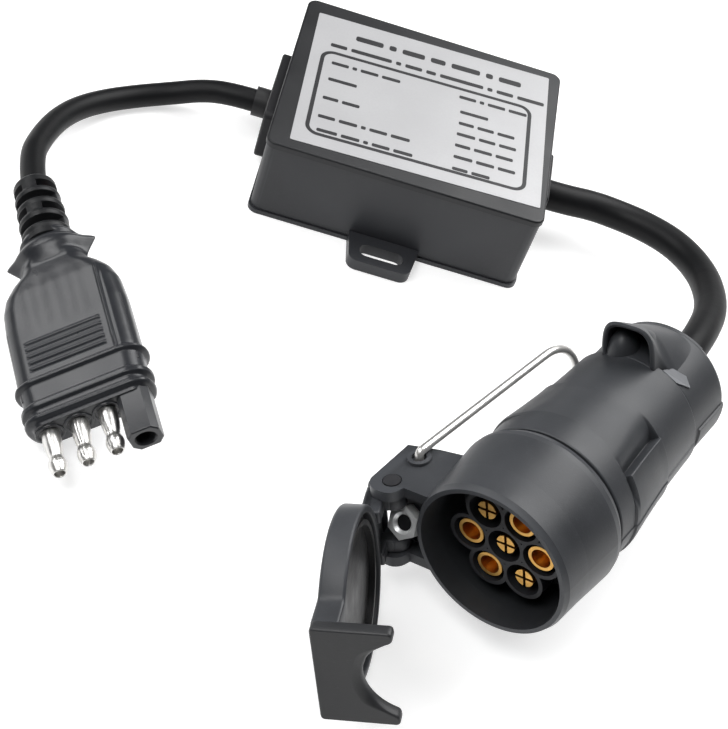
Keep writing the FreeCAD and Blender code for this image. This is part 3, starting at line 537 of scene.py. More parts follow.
def rounded_section(angles, half_width, half_depth, corner):
    """Distance from the middle to a rounded rectangle's outline in each direction."""
    cosine = np.maximum(np.abs(np.cos(angles)), 1e-6)
    sine = np.maximum(np.abs(np.sin(angles)), 1e-6)
    flat_x = half_width - corner
    flat_z = half_depth - corner
    along_ray = flat_x * cosine + flat_z * sine
    aside = flat_x * sine - flat_z * cosine
    rounded = along_ray + np.sqrt(np.maximum(corner**2 - aside**2, 0))
    top = half_depth / sine
    side = half_width / cosine
    reach = np.where(top * cosine <= flat_x, top, rounded)
    return np.where(side * sine <= flat_z, side, reach)


def pointed_section(angles, half_width, half_depth, power):
    """The same for an outline that runs from an ellipse at power 2 to a diamond at power 1."""
    across = np.abs(np.cos(angles) / half_width)
    upwards = np.abs(np.sin(angles) / half_depth)
    return (across**power + upwards**power) ** (-1 / power)


def even_directions(count):
    """Directions that space points evenly round the widest section."""
    dense = np.linspace(0, 2 * math.pi, 4001)
    reach = rounded_section(dense, *PLUG_WIDEST)
    walked = distance_along(reach * np.cos(dense), reach * np.sin(dense))
    return np.interp(np.linspace(0, walked[-1], count, endpoint=False), walked, dense)


def plug_relief(across, along, face):
    """How far the skin stands out of its plain form; face is 1 on the broad faces and 0 at the sides."""
    height = np.zeros_like(across)
    for place, width in RING_RIBS:
        height += (RING_HEIGHT - RING_SUNK_ON_FACE * face) * band(along, place, width, 0.9)
    off_middle = across - GRIP_MIDDLE
    for line in GRIP_LINES:
        lip = GRIP_LIP * band(along, line + 0.6, 0.6, 0.5)
        cut = GRIP_CUT * band(along, line, 0.4, 0.3)
        height += face * band(off_middle, 0, GRIP_LENGTH, 0.5) * (lip - cut)
    swell = np.cos(off_middle * 2 * math.pi / SWELL_SPACING) * band(off_middle, *SWELL_ACROSS)
    height += SWELL_HEIGHT * swell * face * band(along, *SWELL_ALONG)
    crease = band(across, CREASE_PLACE, 0.5, 0.5) - 0.7 * band(across, CREASE_PLACE + 0.7, 0.7, 0.7)
    height += CREASE_HEIGHT * crease * face * step(along, *CREASE_START) * (1 - step(along, *CREASE_END))
    return height


def plug_ring(angles, along):
    """One ring of the moulding's skin: its plain outline, the collar and the relief."""
    here = np.full_like(angles, along)
    half_width = blurred(PLUG_HALF_WIDTH, here, 0.6)
    half_depth = blurred(PLUG_HALF_DEPTH, here, 0.6)
    corner = np.minimum(blurred(PLUG_CORNER, here, 1.0), half_depth - 0.2)
    collar = step(here, *COLLAR_START) * (1 - step(here, *COLLAR_END))
    plain = rounded_section(angles, half_width, half_depth, corner)
    neck = step(here, NECK_START, PLUG_END)
    plain = plain * (1 - neck) + neck * pointed_section(angles, half_width, half_depth, 2.0)
    roll = pointed_section(angles, half_width * ROLL_WIDTH, half_depth, 2.1)
    wing = pointed_section(angles, half_width, half_depth * WING_DEPTH, 1.25)
    reach = plain * (1 - collar) + collar * (roll**9 + wing**9) ** (1 / 9)
    x = reach * np.cos(angles)
    z = reach * np.sin(angles)
    face = step(np.abs(z) / half_depth, 0.62, 0.95)
    relief = plug_relief(x, here, face)
    outward = np.stack([np.sign(x) * (np.abs(x) / half_width) ** 4 / half_width, z / half_depth**2])
    outward /= np.linalg.norm(outward, axis=0)
    return np.stack([x + outward[0] * relief, here, z + outward[1] * relief], axis=1)


def make_plug_moulding():
    angles = even_directions(PLUG_DIRECTIONS)
    rings = [plug_ring(angles, along) for along in np.arange(0, PLUG_END + 0.01, PLUG_SPACING)]
    add_skin("plug_moulding", wrap(rings), PLUG, "plug_rubber", "plug_body", sharp=55)


BOOT_ROWS = (60.4, 64.9, 69.4, 73.6)
BOOT_SLOT = 2.3
BOOT_SLOT_DEPTH = 2.4
BOOT_ROW_SWELL = 0.22
BOOT_SLOT_SPAN = (57.5, 76.5)
BOOT_SPACING = 0.14
BOOT_SLEEVE = (55.6, 76.6)
BOOT_RADIUS = 6.35
BOOT_TAPER = 0.75
BOOT_TAPER_SPAN = (60, 78)
# radius and place along the ends of the boot
BOOT_FOOT = [(0.05, 55.4), (5.9, 55.41)]
BOOT_TIP = [(5.45, 76.9), (5.1, 77.3), (4.6, 77.5), (3.45, 77.5), (3.42, 75.0), (0.05, 75.0)]


def boot_slots(angles, along):
    """Slots round the strain relief: every other row turned a quarter against the next."""
    depth = np.zeros_like(angles)
    if not BOOT_SLOT_SPAN[0] < along < BOOT_SLOT_SPAN[1]:
        return depth
    here = np.full_like(angles, along)
    for row, place in enumerate(BOOT_ROWS):
        quarter = math.pi / 2 * ((row + 1) % 2)
        arc = step(np.abs(np.cos(angles - quarter)), 0.34, 0.42)
        depth -= BOOT_SLOT_DEPTH * band(here, place, BOOT_SLOT, 0.35) * arc
        depth += BOOT_ROW_SWELL * band(here, place - 1.9, 1.2, 1.2)
    return depth


def make_plug_boot():
    lengths = np.arange(*BOOT_SLEEVE, BOOT_SPACING)
    sleeve = [(BOOT_RADIUS - BOOT_TAPER * step(along, *BOOT_TAPER_SPAN), along) for along in lengths]
    profile = BOOT_FOOT + sleeve + BOOT_TIP
    # the boot's darker rubber paints the shade in its slots
    turned("plug_boot", profile, PLUG, "boot_painted_shade_rubber", "plug_body", segments=128, shift=boot_slots)


SHROUD_OUTLINE = [(4.0, 2.1), (2.5, 4.0), (-2.5, 4.0), (-4.0, 2.1), (-4.0, -2.1), (-2.5, -4.0), (2.5, -4.0),
                  (4.0, -2.1)]
SHROUD_SIDE_STEPS = 8
# the outline's scale along the shroud, then the radius along its opening
SHROUD_OUTSIDE = ((0.9, 4.0), (1.0, 3.2), (1.0, -10.9), (0.97, -11.3), (0.9, -11.5))
SHROUD_OPENING = ((2.75, -11.5), (2.45, -11.1), (2.35, -10.2), (2.3, -7.5), (1.98, -7.4))


def make_plug_shroud():
    """The eight-sided shroud round the single sleeve, with a blind round opening in its tip."""
    x = CONTACTS[3]
    corners = [Vector(corner) for corner in SHROUD_OUTLINE]
    outline = []
    for corner, following in zip(corners, corners[1:] + corners[:1]):
        outline += [corner.lerp(following, share / SHROUD_SIDE_STEPS) for share in range(SHROUD_SIDE_STEPS)]
    headings = [math.atan2(point.y, point.x) for point in outline]
    rings = [[(x + point.x * scale, along, point.y * scale) for point in outline]
             for scale, along in SHROUD_OUTSIDE]
    rings += [ring(radius, along, headings, (x, 0)) for radius, along in SHROUD_OPENING]
    add_skin("plug_shroud", wrap(rings), PLUG, "plug_rubber", "plug_body", sharp=24)


# radius and place along the bullet: foot, rolled barrel, waist, bulged head and hollow tip
BULLET_PROFILE = [
    (0.05, 1.2), (2.2, 1.2), (2.3, 0.4), (2.3, 0.0), (2.3, -2.0), (2.22, -4.0), (2.02, -5.6), (1.76, -6.7),
    (1.72, -7.3), (1.84, -7.8), (2.14, -8.5), (2.28, -9.3), (2.22, -10.1), (1.98, -11.0), (1.74, -11.7),
    (1.55, -12.0), (1.3, -11.8), (1.15, -9.6), (0.05, -9.5)]
BULLET_STEPS = 120
BULLET_SEAM_DEPTH = 0.16
BULLET_FLATS = 0.05
RECESS_PROFILE = [(0.05, 0.5), (3.7, 0.5), (3.72, 0.0), (3.6, -0.28), (3.35, -0.35), (3.05, -0.3),
                  (2.85, 0.0), (2.6, 0.25), (0.05, 0.25)]


def bullet_dents(number):
    """The seam of the rolled sheet, and slight flats where it was formed."""
    seam = math.radians(70 + 25 * number)

    def shift(angles, along):
        if not -11 < along < 0:
            return np.zeros_like(angles)
        from_seam = np.abs((angles - seam + math.pi) % (2 * math.pi) - math.pi)
        groove = -BULLET_SEAM_DEPTH * (1 - step(from_seam, 0.03, 0.1))
        barrel = band(np.full_like(angles, along), -3.5, 4.5, 2.5)
        return groove + BULLET_FLATS * np.cos(3 * (angles - seam)) * barrel
    return shift


def make_bullet(number):
    """A formed bullet, standing in its recess."""
    radii, places = np.transpose(BULLET_PROFILE)
    walked = distance_along(places, radii)
    fine = np.linspace(0, walked[-1], BULLET_STEPS)
    profile = list(zip(np.interp(fine, walked, radii), np.interp(fine, walked, places)))
    turned(f"bullet_contact_{number + 1}", profile, PLUG, "terminal_nickel", f"bullet_terminal_{number + 1}",
           (CONTACTS[number], 0), shift=bullet_dents(number), sharp=60)


def make_recess_collars():
    """Low round lips of the moulding about the bullets."""
    for number in range(3):
        turned(f"bullet_recess_{number + 1}", RECESS_PROFILE, PLUG, "plug_rubber", "plug_body",
               (CONTACTS[number], 0))


make_plug_moulding()
make_plug_boot()
make_plug_shroud()
make_recess_collars()
for bullet in range(3):
    make_bullet(bullet)


# ---- socket rear body and cap

REAR_START = 25.2
REAR_END = 66.4
REAR_RADIUS = [(25.2, 20.2), (33, 20.2), (40, 19.4), (47, 18.75), (60, 18.15), (66.4, 17.9)]
REAR_FRONT_RADIUS = 19.6
REAR_BORE = 15.3
REAR_FRONT_CHAMFER = 0.3
REAR_BACK_CHAMFER = 0.35
# the raised side panel: its two ends, and its rising foot and its upper edge in degrees
PANEL_START = 31.6
PANEL_STOP = 49.8
PANEL_FOOT = (-62, -40)
PANEL_TOP = 28.5
PANEL_HEIGHT = 0.5
# the finger trough above the panel, which reaches up to so many degrees, and the slit at its front
TROUGH_TOP = 56.0
TROUGH_END = (49.0, 49.7)
TROUGH_NARROWING = 9
TROUGH_DEPTH = 2.4
SLIT_DEPTH = 1.5
PARTING_ANGLE = -9.0
PARTING_DEPTH = 0.3
STRIP_HEIGHT = 0.25


def graded(start, stop, coarse, fine, spots, reach):
    """Values from start to stop, spaced finely near the spots and coarsely elsewhere."""
    values = [start]
    while values[-1] < stop:
        near = any(abs(values[-1] + fine - spot) < reach for spot in spots)
        values.append(values[-1] + (fine if near else coarse))
    values[-1] = stop
    return values


def rear_relief(angles, along):
    """A raised side panel with a sloping finger trough above it, and the same turned half round."""
    here = np.full_like(angles, along)
    height = np.zeros_like(angles)
    middle = (PANEL_START + PANEL_STOP) / 2
    for side in (0, 180):
        degrees = (np.degrees(angles) - side + 180) % 360 - 180
        above_foot = step(degrees, *PANEL_FOOT)
        panel = above_foot * (1 - step(degrees, PANEL_TOP - 0.7, PANEL_TOP + 0.7))
        height += PANEL_HEIGHT * panel * band(here, middle, PANEL_STOP - PANEL_START, 0.35)
        reach = TROUGH_TOP - TROUGH_NARROWING * (1 - step(here, PANEL_START, PANEL_STOP))
        slope = np.clip((reach - degrees) / (reach - PANEL_TOP), 0, 1) * (degrees > PANEL_TOP)
        ends = step(here, PANEL_START - 0.2, PANEL_START + 0.5) * (1 - step(here, *TROUGH_END))
        height -= TROUGH_DEPTH * slope**2 * ends
        slit = band(here, PANEL_START + 0.5, 1.3, 0.5) * step(degrees, 2, 22) * (degrees <= PANEL_TOP)
        height -= SLIT_DEPTH * slit
        behind_panel = step(here, PANEL_STOP, PANEL_STOP + 0.4)
        height -= PARTING_DEPTH * band(degrees, PARTING_ANGLE, 1.1, 0.7) * behind_panel
        height += STRIP_HEIGHT * (1 - step(degrees, PARTING_ANGLE - 1, PARTING_ANGLE)) * above_foot
    return height


def make_rear_shell():
    """The hollow body behind the mouth, with its panels and troughs."""
    edges = (REAR_START, PANEL_START, PANEL_STOP, PANEL_START + 2, REAR_END)
    lengths = graded(REAR_START, REAR_END, 0.8, 0.14, edges, 1.3)
    half_turn = graded(-90.0, 90.0, 1.6, 0.3, (PANEL_TOP, PARTING_ANGLE), 3)[:-1]
    angles = np.radians([side + value for side in (0, 180) for value in half_turn])
    rings = [ring(radius, REAR_START, angles) for radius in (REAR_BORE, REAR_FRONT_RADIUS)]
    for along in lengths:
        radius = np.interp(along, *zip(*REAR_RADIUS))
        front_chamfer = REAR_FRONT_CHAMFER * (1 - step(along, REAR_START - 0.2, REAR_START + 0.3))
        back_chamfer = REAR_BACK_CHAMFER * step(along, REAR_END - 0.5, REAR_END)
        radius -= front_chamfer + back_chamfer
        rings.append(ring(radius + rear_relief(angles, along), along, angles))
    rings.append(ring(REAR_BORE, REAR_END, angles))
    add_skin("rear_shell", joined(rings, closed=True), SOCKET, "socket_plastic", "rear_body")


# radius and place along the cap: its outside, rounded back, lead hole and inside
CAP_PROFILE = [(15.3, 66.4), (16.5, 66.4), (16.85, 66.7), (17.0, 67.3), (17.0, 81.6), (16.9, 82.2),
               (16.4, 82.9), (15.4, 84.2), (14.4, 85.2), (12.6, 85.8), (10.6, 86.0), (5.6, 86.0), (5.0, 85.7),
               (4.7, 85.2), (4.7, 83.5), (12.4, 83.2), (12.4, 66.4)]
CAP_STEP_HEIGHT = 0.55
CAP_STEP = (69.2, 69.6)
CAP_RELIEF_SPAN = (66.4, 83)
# the degrees at which the proud lower half starts and ends
CAP_LOWER_START = (-175, -168)
CAP_LOWER_END = (-4.6, -4.0)


def cap_relief(angles, along):
    """A lower half that stands proud behind a short step."""
    if not CAP_RELIEF_SPAN[0] < along < CAP_RELIEF_SPAN[1]:
        return np.zeros_like(angles)
    degrees = (np.degrees(angles) + 180) % 360 - 180
    lower = step(degrees, *CAP_LOWER_START) * (1 - step(degrees, *CAP_LOWER_END))
    return CAP_STEP_HEIGHT * lower * step(along, *CAP_STEP)


def make_cap_shell():
    """The cap's turned sleeve and back, with its outer skin divided finely."""
    angles = np.radians(graded(-180.0, 180.0, 1.2, 0.3, (26.0, -4.3, -171.0), 3)[:-1])
    profile = []
    for (radius, along), (next_radius, next_along) in zip(CAP_PROFILE, CAP_PROFILE[1:]):
        on_outside = min(radius, next_radius) > 15
        steps = max(1, round(abs(next_along - along) / 0.25)) if on_outside else 1
        for share in range(steps):
            profile.append((radius + (next_radius - radius) * share / steps,
                            along + (next_along - along) * share / steps))
    profile.append(CAP_PROFILE[-1])
    rings = [ring(radius + cap_relief(angles, along) if radius > 16 else radius, along, angles)
             for radius, along in profile]
    add_skin("cap_shell", joined(rings, closed=True), SOCKET, "socket_plastic", "rear_cap")


HOOD_START = 64.0
HOOD_END = 83.0
HOOD_HALF_WIDTH = 7.3
HOOD_TOP = 27.6
HOOD_END_TOP = 16.2
HOOD_WALL = 1.35
HOOD_BASE = 16.8
HOOD_FLARE = 3.4
HOOD_POWER = 3.8
# how far each loop of the hood's rounded lip is moved in and along
HOOD_LIP = [(0.25, -0.25), (0.75, -0.4), (1.1, -0.2)]
SCOOP_END = 75.5
SCOOP_BASE = 18.06
SCOOP_DROP = 7.6
ARCH_POINTS = 72


def arch_ring(along, half_width, top, base_radius, power):
    """A closed outline: an arch over the base circle and back along that circle."""
    sweep = np.linspace(0, math.pi, ARCH_POINTS)
    cosine = np.cos(sweep)
    x = half_width * np.sign(cosine) * np.abs(cosine) ** (2 / power)
    lift = np.abs(np.sin(sweep)) ** (2 / power)
    base = math.sqrt(base_radius**2 - half_width**2)
    return with_base(along, x, base + (top - base) * lift, half_width, base_radius)


def flowing_ring(along, half_width, top):
    """A closed outline whose arch runs out softly into the base circle on both sides."""
    x = half_width * np.cos(np.linspace(0, math.pi, ARCH_POINTS))
    rise = np.maximum(1 - np.abs(x / half_width) ** 2.6, 0) ** 1.6
    z = np.sqrt(HOOD_BASE**2 - x**2) + (top - HOOD_BASE) * rise
    return with_base(along, x, z, half_width, HOOD_BASE)


def with_base(along, x, z, half_width, base_radius):
    """An arch's points followed by those that lead back along the base circle."""
    back = np.linspace(-half_width, half_width, ARCH_POINTS // 2)[1:-1]
    x = np.concatenate([x, back])
    z = np.concatenate([z, np.sqrt(base_radius**2 - back**2)])
    return np.stack([x, np.full_like(x, along), z], axis=1)


def make_hood():
    """The lid catch: a hood that grows out of the cap, with a rounded scoop open towards the mouth."""
    rings = []
    for share in np.linspace(1, 0, 60):
        along = HOOD_START + (HOOD_END - HOOD_START) * share
        top = HOOD_TOP + (HOOD_END_TOP - HOOD_TOP) * (0.9 * share + 0.1 * step(share, 0, 1))
        steep = arch_ring(along, HOOD_HALF_WIDTH, top, HOOD_BASE, HOOD_POWER)
        flowing = flowing_ring(along, HOOD_HALF_WIDTH + HOOD_FLARE * step(share, 0, 0.35), top)
        blend = step(share, 0.0, 0.3)
        rings.append((1 - blend) * steep + blend * flowing)
    for inset, shift in HOOD_LIP:
        rings.append(arch_ring(HOOD_START + shift, HOOD_HALF_WIDTH - inset, HOOD_TOP - inset,
                               HOOD_BASE + inset, HOOD_POWER))
    for share in np.linspace(0, 1, 26):
        along = HOOD_START + (SCOOP_END - HOOD_START) * share
        shrink = share**2.2
        half_width = (HOOD_HALF_WIDTH - HOOD_WALL) * (1 - 0.35 * shrink)
        top = HOOD_TOP - HOOD_WALL - SCOOP_DROP * (0.3 * share + 0.7 * shrink)
        rings.append(arch_ring(along, half_width, top, SCOOP_BASE, 3.6 - 1.2 * share))
    add_skin("lid_catch_hood", wrap(rings), SOCKET, "socket_plastic", "rear_cap", sharp=60)


FILLING_MIDDLE = np.array([-3.2, 67.6, 15.5])
FILLING_HALF_SIZE = np.array([4.2, 5.0, 7.6])
POLE_GAP = 0.02


def make_hood_filling():
    """The rounded filling that closes the left of the scoop and slopes down to the body."""
    turns = np.linspace(0, 2 * math.pi, 48, endpoint=False)
    rings = []
    for tilt in np.linspace(math.pi / 2 - POLE_GAP, -math.pi / 2 + POLE_GAP, 40):
        unit = ring(math.cos(tilt), math.sin(tilt), turns)
        rings.append(FILLING_MIDDLE + FILLING_HALF_SIZE * np.array(unit))
    add_skin("lid_catch_filling", wrap(rings), SOCKET, "socket_plastic", "rear_cap", sharp=60)


make_hood_filling()
make_rear_shell()
make_cap_shell()
make_hood()


# ---- cap facet with a painted highlight, contact floors, painted shade in the nut hole

CAP_FACET = [(62.0, 66.6), (57.0, 69.4), (45.0, 71.0), (36.0, 69.8), (47.0, 66.8)]
FACET_RADII = (16.5, 17.5)
SLEEVE_CIRCLE = 9.4
SLEEVE_ANGLES = (60, 0, -120, 180)
SLEEVE_FLOOR = [(0.05, 12.2), (1.8, 12.4), (2.48, 12.0), (2.48, 13.5), (0.05, 13.5)]
NUT_SHADE_DISC = [(0.05, 1.0), (1.98, 1.0), (1.98, 1.7), (0.05, 1.7)]


def polar(radius, degrees):
    return radius * math.cos(math.radians(degrees)), radius * math.sin(math.radians(degrees))


def make_cap_facet():
    """A small cut face on the cap beside the hood, in a light plastic that paints the highlight the face
    catches.
    """
    rings = []
    for radius in FACET_RADII:
        corners = [(polar(radius, degrees), along) for degrees, along in CAP_FACET]
        rings.append([(x, along, z) for (x, z), along in corners])
    add_skin("cap_facet", wrap(rings), SOCKET, "facet_painted_highlight", "rear_cap")


def make_contact_floors():
    """The solid bottom of each open sleeve, where its bore ends."""
    for number, degrees in enumerate(SLEEVE_ANGLES, start=1):
        turned(f"sleeve_floor_{number}", SLEEVE_FLOOR, SOCKET, "contact_brass",
               centre=polar(SLEEVE_CIRCLE, degrees), segments=32)


def make_nut_shade_disc():
    """A dark disc at the screw's end, deep in the nut: painted shade in the hole."""
    # the disc's black rubber is painted shade, not a part of the nut or screw
    turned("nut_shade_disc", NUT_SHADE_DISC, NUT, "gasket_rubber", segments=32)


make_cap_facet()
make_contact_floors()
make_nut_shade_disc()


# ---- flip lid

LID_CENTRE = 27.3
LID_RADIUS = 20.7
LID_BACK = -8.5
LID_RIM = -2.5
LID_FLOOR = -6.3
LID_HOLLOW = 18.6
LID_BACK_ROUNDING = 0.9
LID_RIM_ROUNDING = 0.7
LID_LIP_ROUNDING = 0.5
CLAW_END = 52.2
CLAW_THICKNESS = 3.0
CLAW_HALF_WIDTH = 13.4
CLAW_TOP = 9.1
CLAW_CORNER = 1.2
NOTCH_MIDDLE = 13.0
NOTCH_RADIUS = 11.4
NOTCH_REACH = 63
NOTCH_TIP = 10.7
BRIDGE_SHORT = 1.0
BRIDGE_BLEND = 0.6
BRIDGE_SETBACK = 0.28
ARM_OFFSET = 6.4
ARM_THICKNESS = 3.6
KNUCKLE_RADIUS = 3.2


def lid_reach(angles):
    """How far the lid's outline stands from its middle: a disc that runs into a straight bridge."""
    cosine = np.maximum(np.cos(angles), 1e-6)
    sine = np.maximum(np.abs(np.sin(angles)), 1e-6)
    bridge = np.minimum((CLAW_END - LID_CENTRE - BRIDGE_SHORT) / cosine, CLAW_HALF_WIDTH / sine)
    bridge = np.where(np.cos(angles) > 0, bridge, 0)
    ahead = bridge - LID_RADIUS
    return LID_RADIUS + 0.5 * (ahead + np.sqrt(ahead**2 + BRIDGE_BLEND)) - BRIDGE_SETBACK


def make_lid_disc():
    """The lid's cup: rounded at its back, with a rounded rim round a flat-bottomed hollow."""
    angles = np.linspace(0, 2 * math.pi, 240, endpoint=False)
    outer = lid_reach(angles)
    loops = [(0.02 * outer, LID_BACK), (outer * 0.7, LID_BACK), (outer - 1.1, LID_BACK)]
    arcs = [(math.sin(math.radians(tilt)), math.cos(math.radians(tilt))) for tilt in (0, 20, 45, 70, 90)]
    for sine, cosine in arcs:
        loops.append((outer - LID_BACK_ROUNDING * (1 - sine), LID_BACK + LID_BACK_ROUNDING * (1 - cosine)))
    for sine, cosine in arcs:
        loops.append((outer - LID_RIM_ROUNDING * (1 - cosine), LID_RIM - LID_RIM_ROUNDING * (1 - sine)))
    for sine, cosine in arcs:
        loops.append((LID_HOLLOW + LID_LIP_ROUNDING * (1 - sine), LID_RIM - LID_LIP_ROUNDING * (1 - cosine)))
    loops += [(LID_HOLLOW, LID_FLOOR), (LID_HOLLOW * 0.02, LID_FLOOR)]
    rings = [ring(reach, along, angles, (LID_CENTRE, 0)) for reach, along in loops]
    add_skin("lid_disc", wrap(rings), LID, "socket_plastic", "flip_lid", "lid", sharp=40)


def softened(outline, radius):
    """A closed outline with each of its corners turned into a small arc."""
    points = []
    count = len(outline)
    for index in range(count):
        before, here, after = (np.array(outline[(index + turn) % count], dtype=float) for turn in (-1, 0, 1))
        back = (before - here) / np.linalg.norm(before - here)
        ahead = (after - here) / np.linalg.norm(after - here)
        if back.dot(ahead) < -0.93:
            points.append(here)
            continue
        start, end = here + back * radius, here + ahead * radius
        for share in np.linspace(0, 1, 6):
            points.append((1 - share) ** 2 * start + 2 * share * (1 - share) * here + share**2 * end)
    return np.array(points)


def shrunk(outline, inset):
    """The outline moved inwards by inset; the outline runs anticlockwise."""
    along = np.roll(outline, -1, axis=0) - np.roll(outline, 1, axis=0)
    along /= np.linalg.norm(along, axis=1)[:, None]
    inwards = np.stack([-along[:, 1], along[:, 0]], axis=1)
    return outline + inwards * np.reshape(inset, (-1, 1))


def make_lid_claw():
    """The claw at the lid's far edge: a plate with the round notch that the hood's lip fits."""
    turns = np.radians(np.linspace(-NOTCH_REACH, NOTCH_REACH, 43))
    notch = [(NOTCH_MIDDLE - NOTCH_RADIUS * math.cos(turn), NOTCH_RADIUS * math.sin(turn)) for turn in turns]
    corners = [(LID_BACK, CLAW_HALF_WIDTH), (LID_BACK, -CLAW_HALF_WIDTH), (CLAW_TOP, -CLAW_HALF_WIDTH),
               (CLAW_TOP, -NOTCH_TIP), *notch, (CLAW_TOP, NOTCH_TIP), (CLAW_TOP, CLAW_HALF_WIDTH)]
    outline = softened(corners, CLAW_CORNER)
    from_notch = np.abs(np.hypot(outline[:, 0] - NOTCH_MIDDLE, outline[:, 1]) - NOTCH_RADIUS)
    easing = np.where(from_notch < 0.05, step(np.abs(outline[:, 1]), 9.6, 5.5), 0.0)
    inner = CLAW_END - CLAW_THICKNESS
    # inset of the edge and depth of each loop, then how much more of both along the notch
    loops = ((0.5, inner, 0, 0), (0.4, inner, 0, 0), (0.15, inner + 0.1, 0, 0), (0.0, inner + 0.5, 0, 0),
             (0.0, CLAW_END - 0.5, 0, -0.7), (0.1, CLAW_END - 0.25, 0.3, -0.55),
             (0.28, CLAW_END - 0.06, 0.9, -0.3), (0.42, CLAW_END, 1.6, 0), (0.5, CLAW_END, 1.7, 0))
    rings = []
    for inset, depth, notch_inset, notch_depth in loops:
        moved = shrunk(outline, inset + easing * notch_inset)
        rings.append([(depth + notch_depth * ease, along, z) for (along, z), ease in zip(moved, easing)])
    # the claw's darker plastic paints the shade on its face, which turns away from the light
    add_skin("lid_claw", wrap(rings), LID, "claw_painted_shade_plastic", "flip_lid", "lid", sharp=50)


def make_lid_block(name, size, centre, radius):
    """A block of the lid's hinge side, with rounded edges."""
    corners = [(x, y, z) for x in (-0.5, 0.5) for y in (-0.5, 0.5) for z in (-0.5, 0.5)]
    points = [[middle + share * side for share, side, middle in zip(corner, size, centre)]
              for corner in corners]
    faces = [(0, 1, 3, 2), (4, 6, 7, 5), (0, 4, 5, 1), (2, 3, 7, 6), (0, 2, 6, 4), (1, 5, 7, 3)]
    piece = add_skin(name, (points, faces), LID, "socket_plastic", "flip_lid", "lid")
    round_edges(piece, radius, 4)


def make_lid_knuckle(name, middle):
    """A round eye that turns on a hinge pin."""
    turns = np.linspace(0, 2 * math.pi, 48, endpoint=False)
    rings = []
    for inset, height in ((0.4, -1.8), (0.1, -1.7), (0.0, -1.4), (0.0, 1.4), (0.1, 1.7), (0.4, 1.8)):
        radius = KNUCKLE_RADIUS - inset
        rings.append([(radius * math.cos(turn), radius * math.sin(turn), middle + height) for turn in turns])
    add_skin(name, wrap(rings), LID, "socket_plastic", "flip_lid", "lid")


def make_lid_arms():
    """The web and heel that join the lid to its two arms, and the arms with their knuckles."""
    make_lid_block("lid_web", (9.95, 2.9, 16.4), (3.175, -5.05, 0), 0.8)
    make_lid_block("lid_heel", (2.1, 3.9, 16.4), (-2.85, -4.55, 0), 0.7)
    for label, middle in (("upper", ARM_OFFSET), ("lower", -ARM_OFFSET)):
        make_lid_block(f"lid_arm_{label}", (8.15, 4.8, ARM_THICKNESS), (4.075, -4.1, middle), 0.6)
        make_lid_block(f"lid_arm_root_{label}", (3.4, 3.6, ARM_THICKNESS), (1.6, -2.0, middle), 0.5)
        make_lid_knuckle(f"lid_knuckle_{label}", middle)


make_lid_disc()
make_lid_claw()
make_lid_arms()


# ---- label print

INK_THICKNESS = 0.03
FRAME_CENTRE = (-0.7, -6.1)
FRAME_SIZE = (65.0, 38.9)
FRAME_LINE = 1.2
FRAME_CORNER = 4.0
# each row of print: where it starts, its height, and the lengths of its words
PRINT_ROWS = [
    ((-24.0, 22.6), 2.9, (8.5, 2.2, 7.0, 4.6, 9.0, 2.2, 7.0)),
    ((-31.0, 16.3), 2.0, (5.0, 12.5, 1.6, 5.2, 3.0, 13.5, 1.6, 5.2, 8.4)),
    ((-29.6, 8.0), 1.7, (5.2, 1.4, 5.4, 5.6)),
    ((-29.6, 0.3), 1.7, (8.6,)),
    ((-30.0, -8.5), 1.7, (4.6, 5.2)),
    ((-30.2, -17.0), 1.7, (5.0, 5.4, 1.4, 5.2, 5.6)),
    ((-29.8, -23.0), 1.7, (6.0, 5.4, 1.4, 5.2, 5.6)),
    ((9.4, 9.0), 1.7, (5.2, 1.4, 5.4, 5.6)),
    ((10.2, 2.2), 1.7, (8.6,)),
    ((10.2, -3.0), 1.7, (4.6, 5.0, 5.2)),
    ((10.0, -8.0), 1.7, (5.6, 5.0, 5.2)),
    ((9.9, -13.1), 1.7, (4.6, 5.4, 5.2)),
    ((9.9, -18.2), 1.7, (5.6, 5.4, 5.2)),
    ((9.9, -23.4), 1.7, (4.6, 5.4)),
]
# a bar's height, its corners and the gap after it, as shares of its row's or its own height
BAR_SHARE = 0.8
BAR_ROUNDING = 0.3
WORD_GAP = 1.1 / 1.7


def rounded_rectangle(centre, width, height, radius, segments=8):
    """The outline of a rectangle whose corners are arcs of so many segments."""
    points = []
    for quarter, (right, up) in enumerate(((1, 1), (-1, 1), (-1, -1), (1, -1))):
        corner = (centre[0] + right * (width / 2 - radius), centre[1] + up * (height / 2 - radius))
        for index in range(segments + 1):
            angle = math.pi / 2 * (quarter + index / segments)
            points.append((corner[0] + radius * math.cos(angle), corner[1] + radius * math.sin(angle)))
    return points


def raised_shape(points, faces, outer, inner=None):
    """Adds a thin flat shape, or a ring where an inner outline is given."""
    first = len(points)
    count = len(outer)
    outlines = [outer] if inner is None else [outer, inner]
    for outline in outlines:
        for level in (0.0, INK_THICKNESS):
            points += [(x, y, level) for x, y in outline]
    for index in range(count):
        following = (index + 1) % count
        faces.append((first + index, first + following, first + count + following, first + count + index))
    if inner is None:
        faces.append(tuple(first + count + index for index in range(count)))
        faces.append(tuple(first + index for index in reversed(range(count))))
        return
    for index in range(count):
        following = (index + 1) % count
        outer_here = first + count + index
        outer_next = first + count + following
        inner_here = outer_here + 2 * count
        inner_next = outer_next + 2 * count
        faces.append((outer_here, outer_next, inner_next, inner_here))
        faces.append((inner_here - count, inner_next - count, outer_next - count, outer_here - count))
        faces.append((inner_here, inner_next, inner_next - count, inner_here - count))


